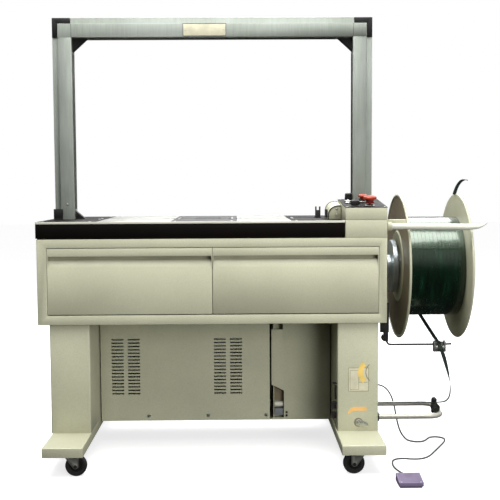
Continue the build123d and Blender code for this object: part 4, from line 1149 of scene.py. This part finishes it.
# ------------------------------------------------------------------ everything
SHELLS = {
    "front_frame": 0.8, "left_door": 0.5, "right_door": 0.5, "cabinet_panels": 0.5, "cabinet_floor": 0.3,
    "legs": 0.8, "feet": 0.8, "table_frame": 0.7, "table_plates": 0.5, "head_cover_plates": 0.5,
    "control_box": 0.8, "control_panel": 0.5, "chute_hood": 0.8, "arch_frame": 0.8, "arch_guides": 0.9,
    "louvred_panel": 0, "pool_panel": 0.4, "base_tray": 0.4, "strap_pool_box": 0.3,
    "electrical_box": 1, "head_frame": 1, "anvil_slide": 0.5, "start_switch": 0.5,
    "caster_plates": 0.5, "caster_fork_front_left": 0.4, "caster_fork_front_right": 0.4,
    "caster_fork_rear_left": 0.4, "caster_fork_rear_right": 0.4, "brake_bracket": 0.9,
    "foot_switch_base": 0.6, "foot_pedal": 1, "door_hinges": 0.3, "feed_roller": 0.5,
    "pinch_roller": 0.5, "drive_motor": 1, "cam_shaft": 0.5, "reel_spindle": 0.6, "panel_screws": 0.4,
}
for node, bevel in SHELLS.items():
    refined(node, bevel)
louvres()
housing_screws()
body_screws()
rear_cover()
leg_marks()
threading_lever()
pool_fittings()
leg_side_fittings()
arch_details()
arch_seams()
table_edge()
head_details()
controls()
hood_details()
reel_parts()
coil()
hub_parts()
strap_tail()
guard_arm()
brake_details()
spring_on_bracket()
guide_bar()
rollers()
fittings()
castors()
foot_switch()
inside()
for name, obj in frame["nodes"].items():
    obj.data.materials.clear()
    obj.data.materials.append(MATERIALS[SLOTS[name]])


# ------------------------------------------------------------------ stage and light
def stage():
    """Pale floor that doesn't throw light back, under a sky that is white only behind the machine."""
    bm = bmesh.new()
    bmesh.ops.create_grid(bm, x_segments=2, y_segments=2, size=14)
    mesh = bpy.data.meshes.new("floor")
    bm.to_mesh(mesh)
    bm.free()
    floor = link(bpy.data.objects.new("floor", mesh))
    floor.location = (0, 4, 0)
    floor.visible_diffuse = False
    floor.visible_glossy = False
    recipe = Recipe("pale_floor", Roughness=0.9, Emission_Color=(1, 1, 1, 1), Emission_Strength=0.72)
    tone = recipe.ramp(recipe.noise(2), (0.3, (0.50, 0.50, 0.50)), (0.7, (0.53, 0.53, 0.53)))
    recipe.feed("Base Color", tone)
    mesh.materials.append(recipe.material)
    world = bpy.data.worlds.new("studio")
    world.use_nodes = True
    nodes = world.node_tree.nodes
    wire = world.node_tree.links.new
    background = nodes["Background"]
    height = nodes.new("ShaderNodeSeparateXYZ")
    wire(nodes.new("ShaderNodeTexCoord").outputs["Generated"], height.inputs[0])
    sky = nodes.new("ShaderNodeValToRGB")
    for element, (place, grey) in zip(sky.color_ramp.elements, SKY):
        element.position = place
        element.color = (grey, grey, grey, 1)
    lift = nodes.new("ShaderNodeMapRange")
    lift.inputs["From Min"].default_value = -1
    wire(height.outputs["Z"], lift.inputs["Value"])
    wire(lift.outputs["Result"], sky.inputs["Fac"])
    seen = nodes.new("ShaderNodeMix")
    seen.data_type = "RGBA"
    wire(nodes.new("ShaderNodeLightPath").outputs["Is Camera Ray"], seen.inputs["Factor"])
    wire(sky.outputs["Color"], seen.inputs[6])
    seen.inputs[7].default_value = (1, 1, 1, 1)
    wire(seen.outputs[2], background.inputs["Color"])
    bpy.context.scene.world = world


def softbox(name, place, target, size, power, mirrored=True):
    data = bpy.data.lights.new(name, "AREA")
    data.shape = "RECTANGLE"
    data.size, data.size_y = size
    data.energy = power
    lamp = link(bpy.data.objects.new(name, data))
    lamp.visible_glossy = mirrored
    lamp.visible_camera = False
    direction = (Vector(target) - Vector(place)).normalized()
    lamp.matrix_world = Matrix.Translation(place) @ direction.to_track_quat("-Z", "Y").to_matrix().to_4x4()


SKY = ((0.5, 0.02), (0.72, 0.5))
stage()
softbox("top_light", (-0.2, -0.6, 3.5), (0.1, -0.1, 0.6), (3.4, 2.4), 215)
softbox("back_panel", (0.8, 2.6, 3.2), (0.7, 0, 0.7), (4, 2.4), 140)
softbox("front_fill", (1.8, -4, 1.5), (0.3, 0, 0.5), (1.8, 1.6), 58, False)
softbox("low_fill", (2, -3.4, 0.5), (0.3, -0.2, 0.3), (2, 0.9), 50, False)
scene = bpy.context.scene
scene.view_settings.view_transform = "Standard"
scene.view_settings.look = "None"
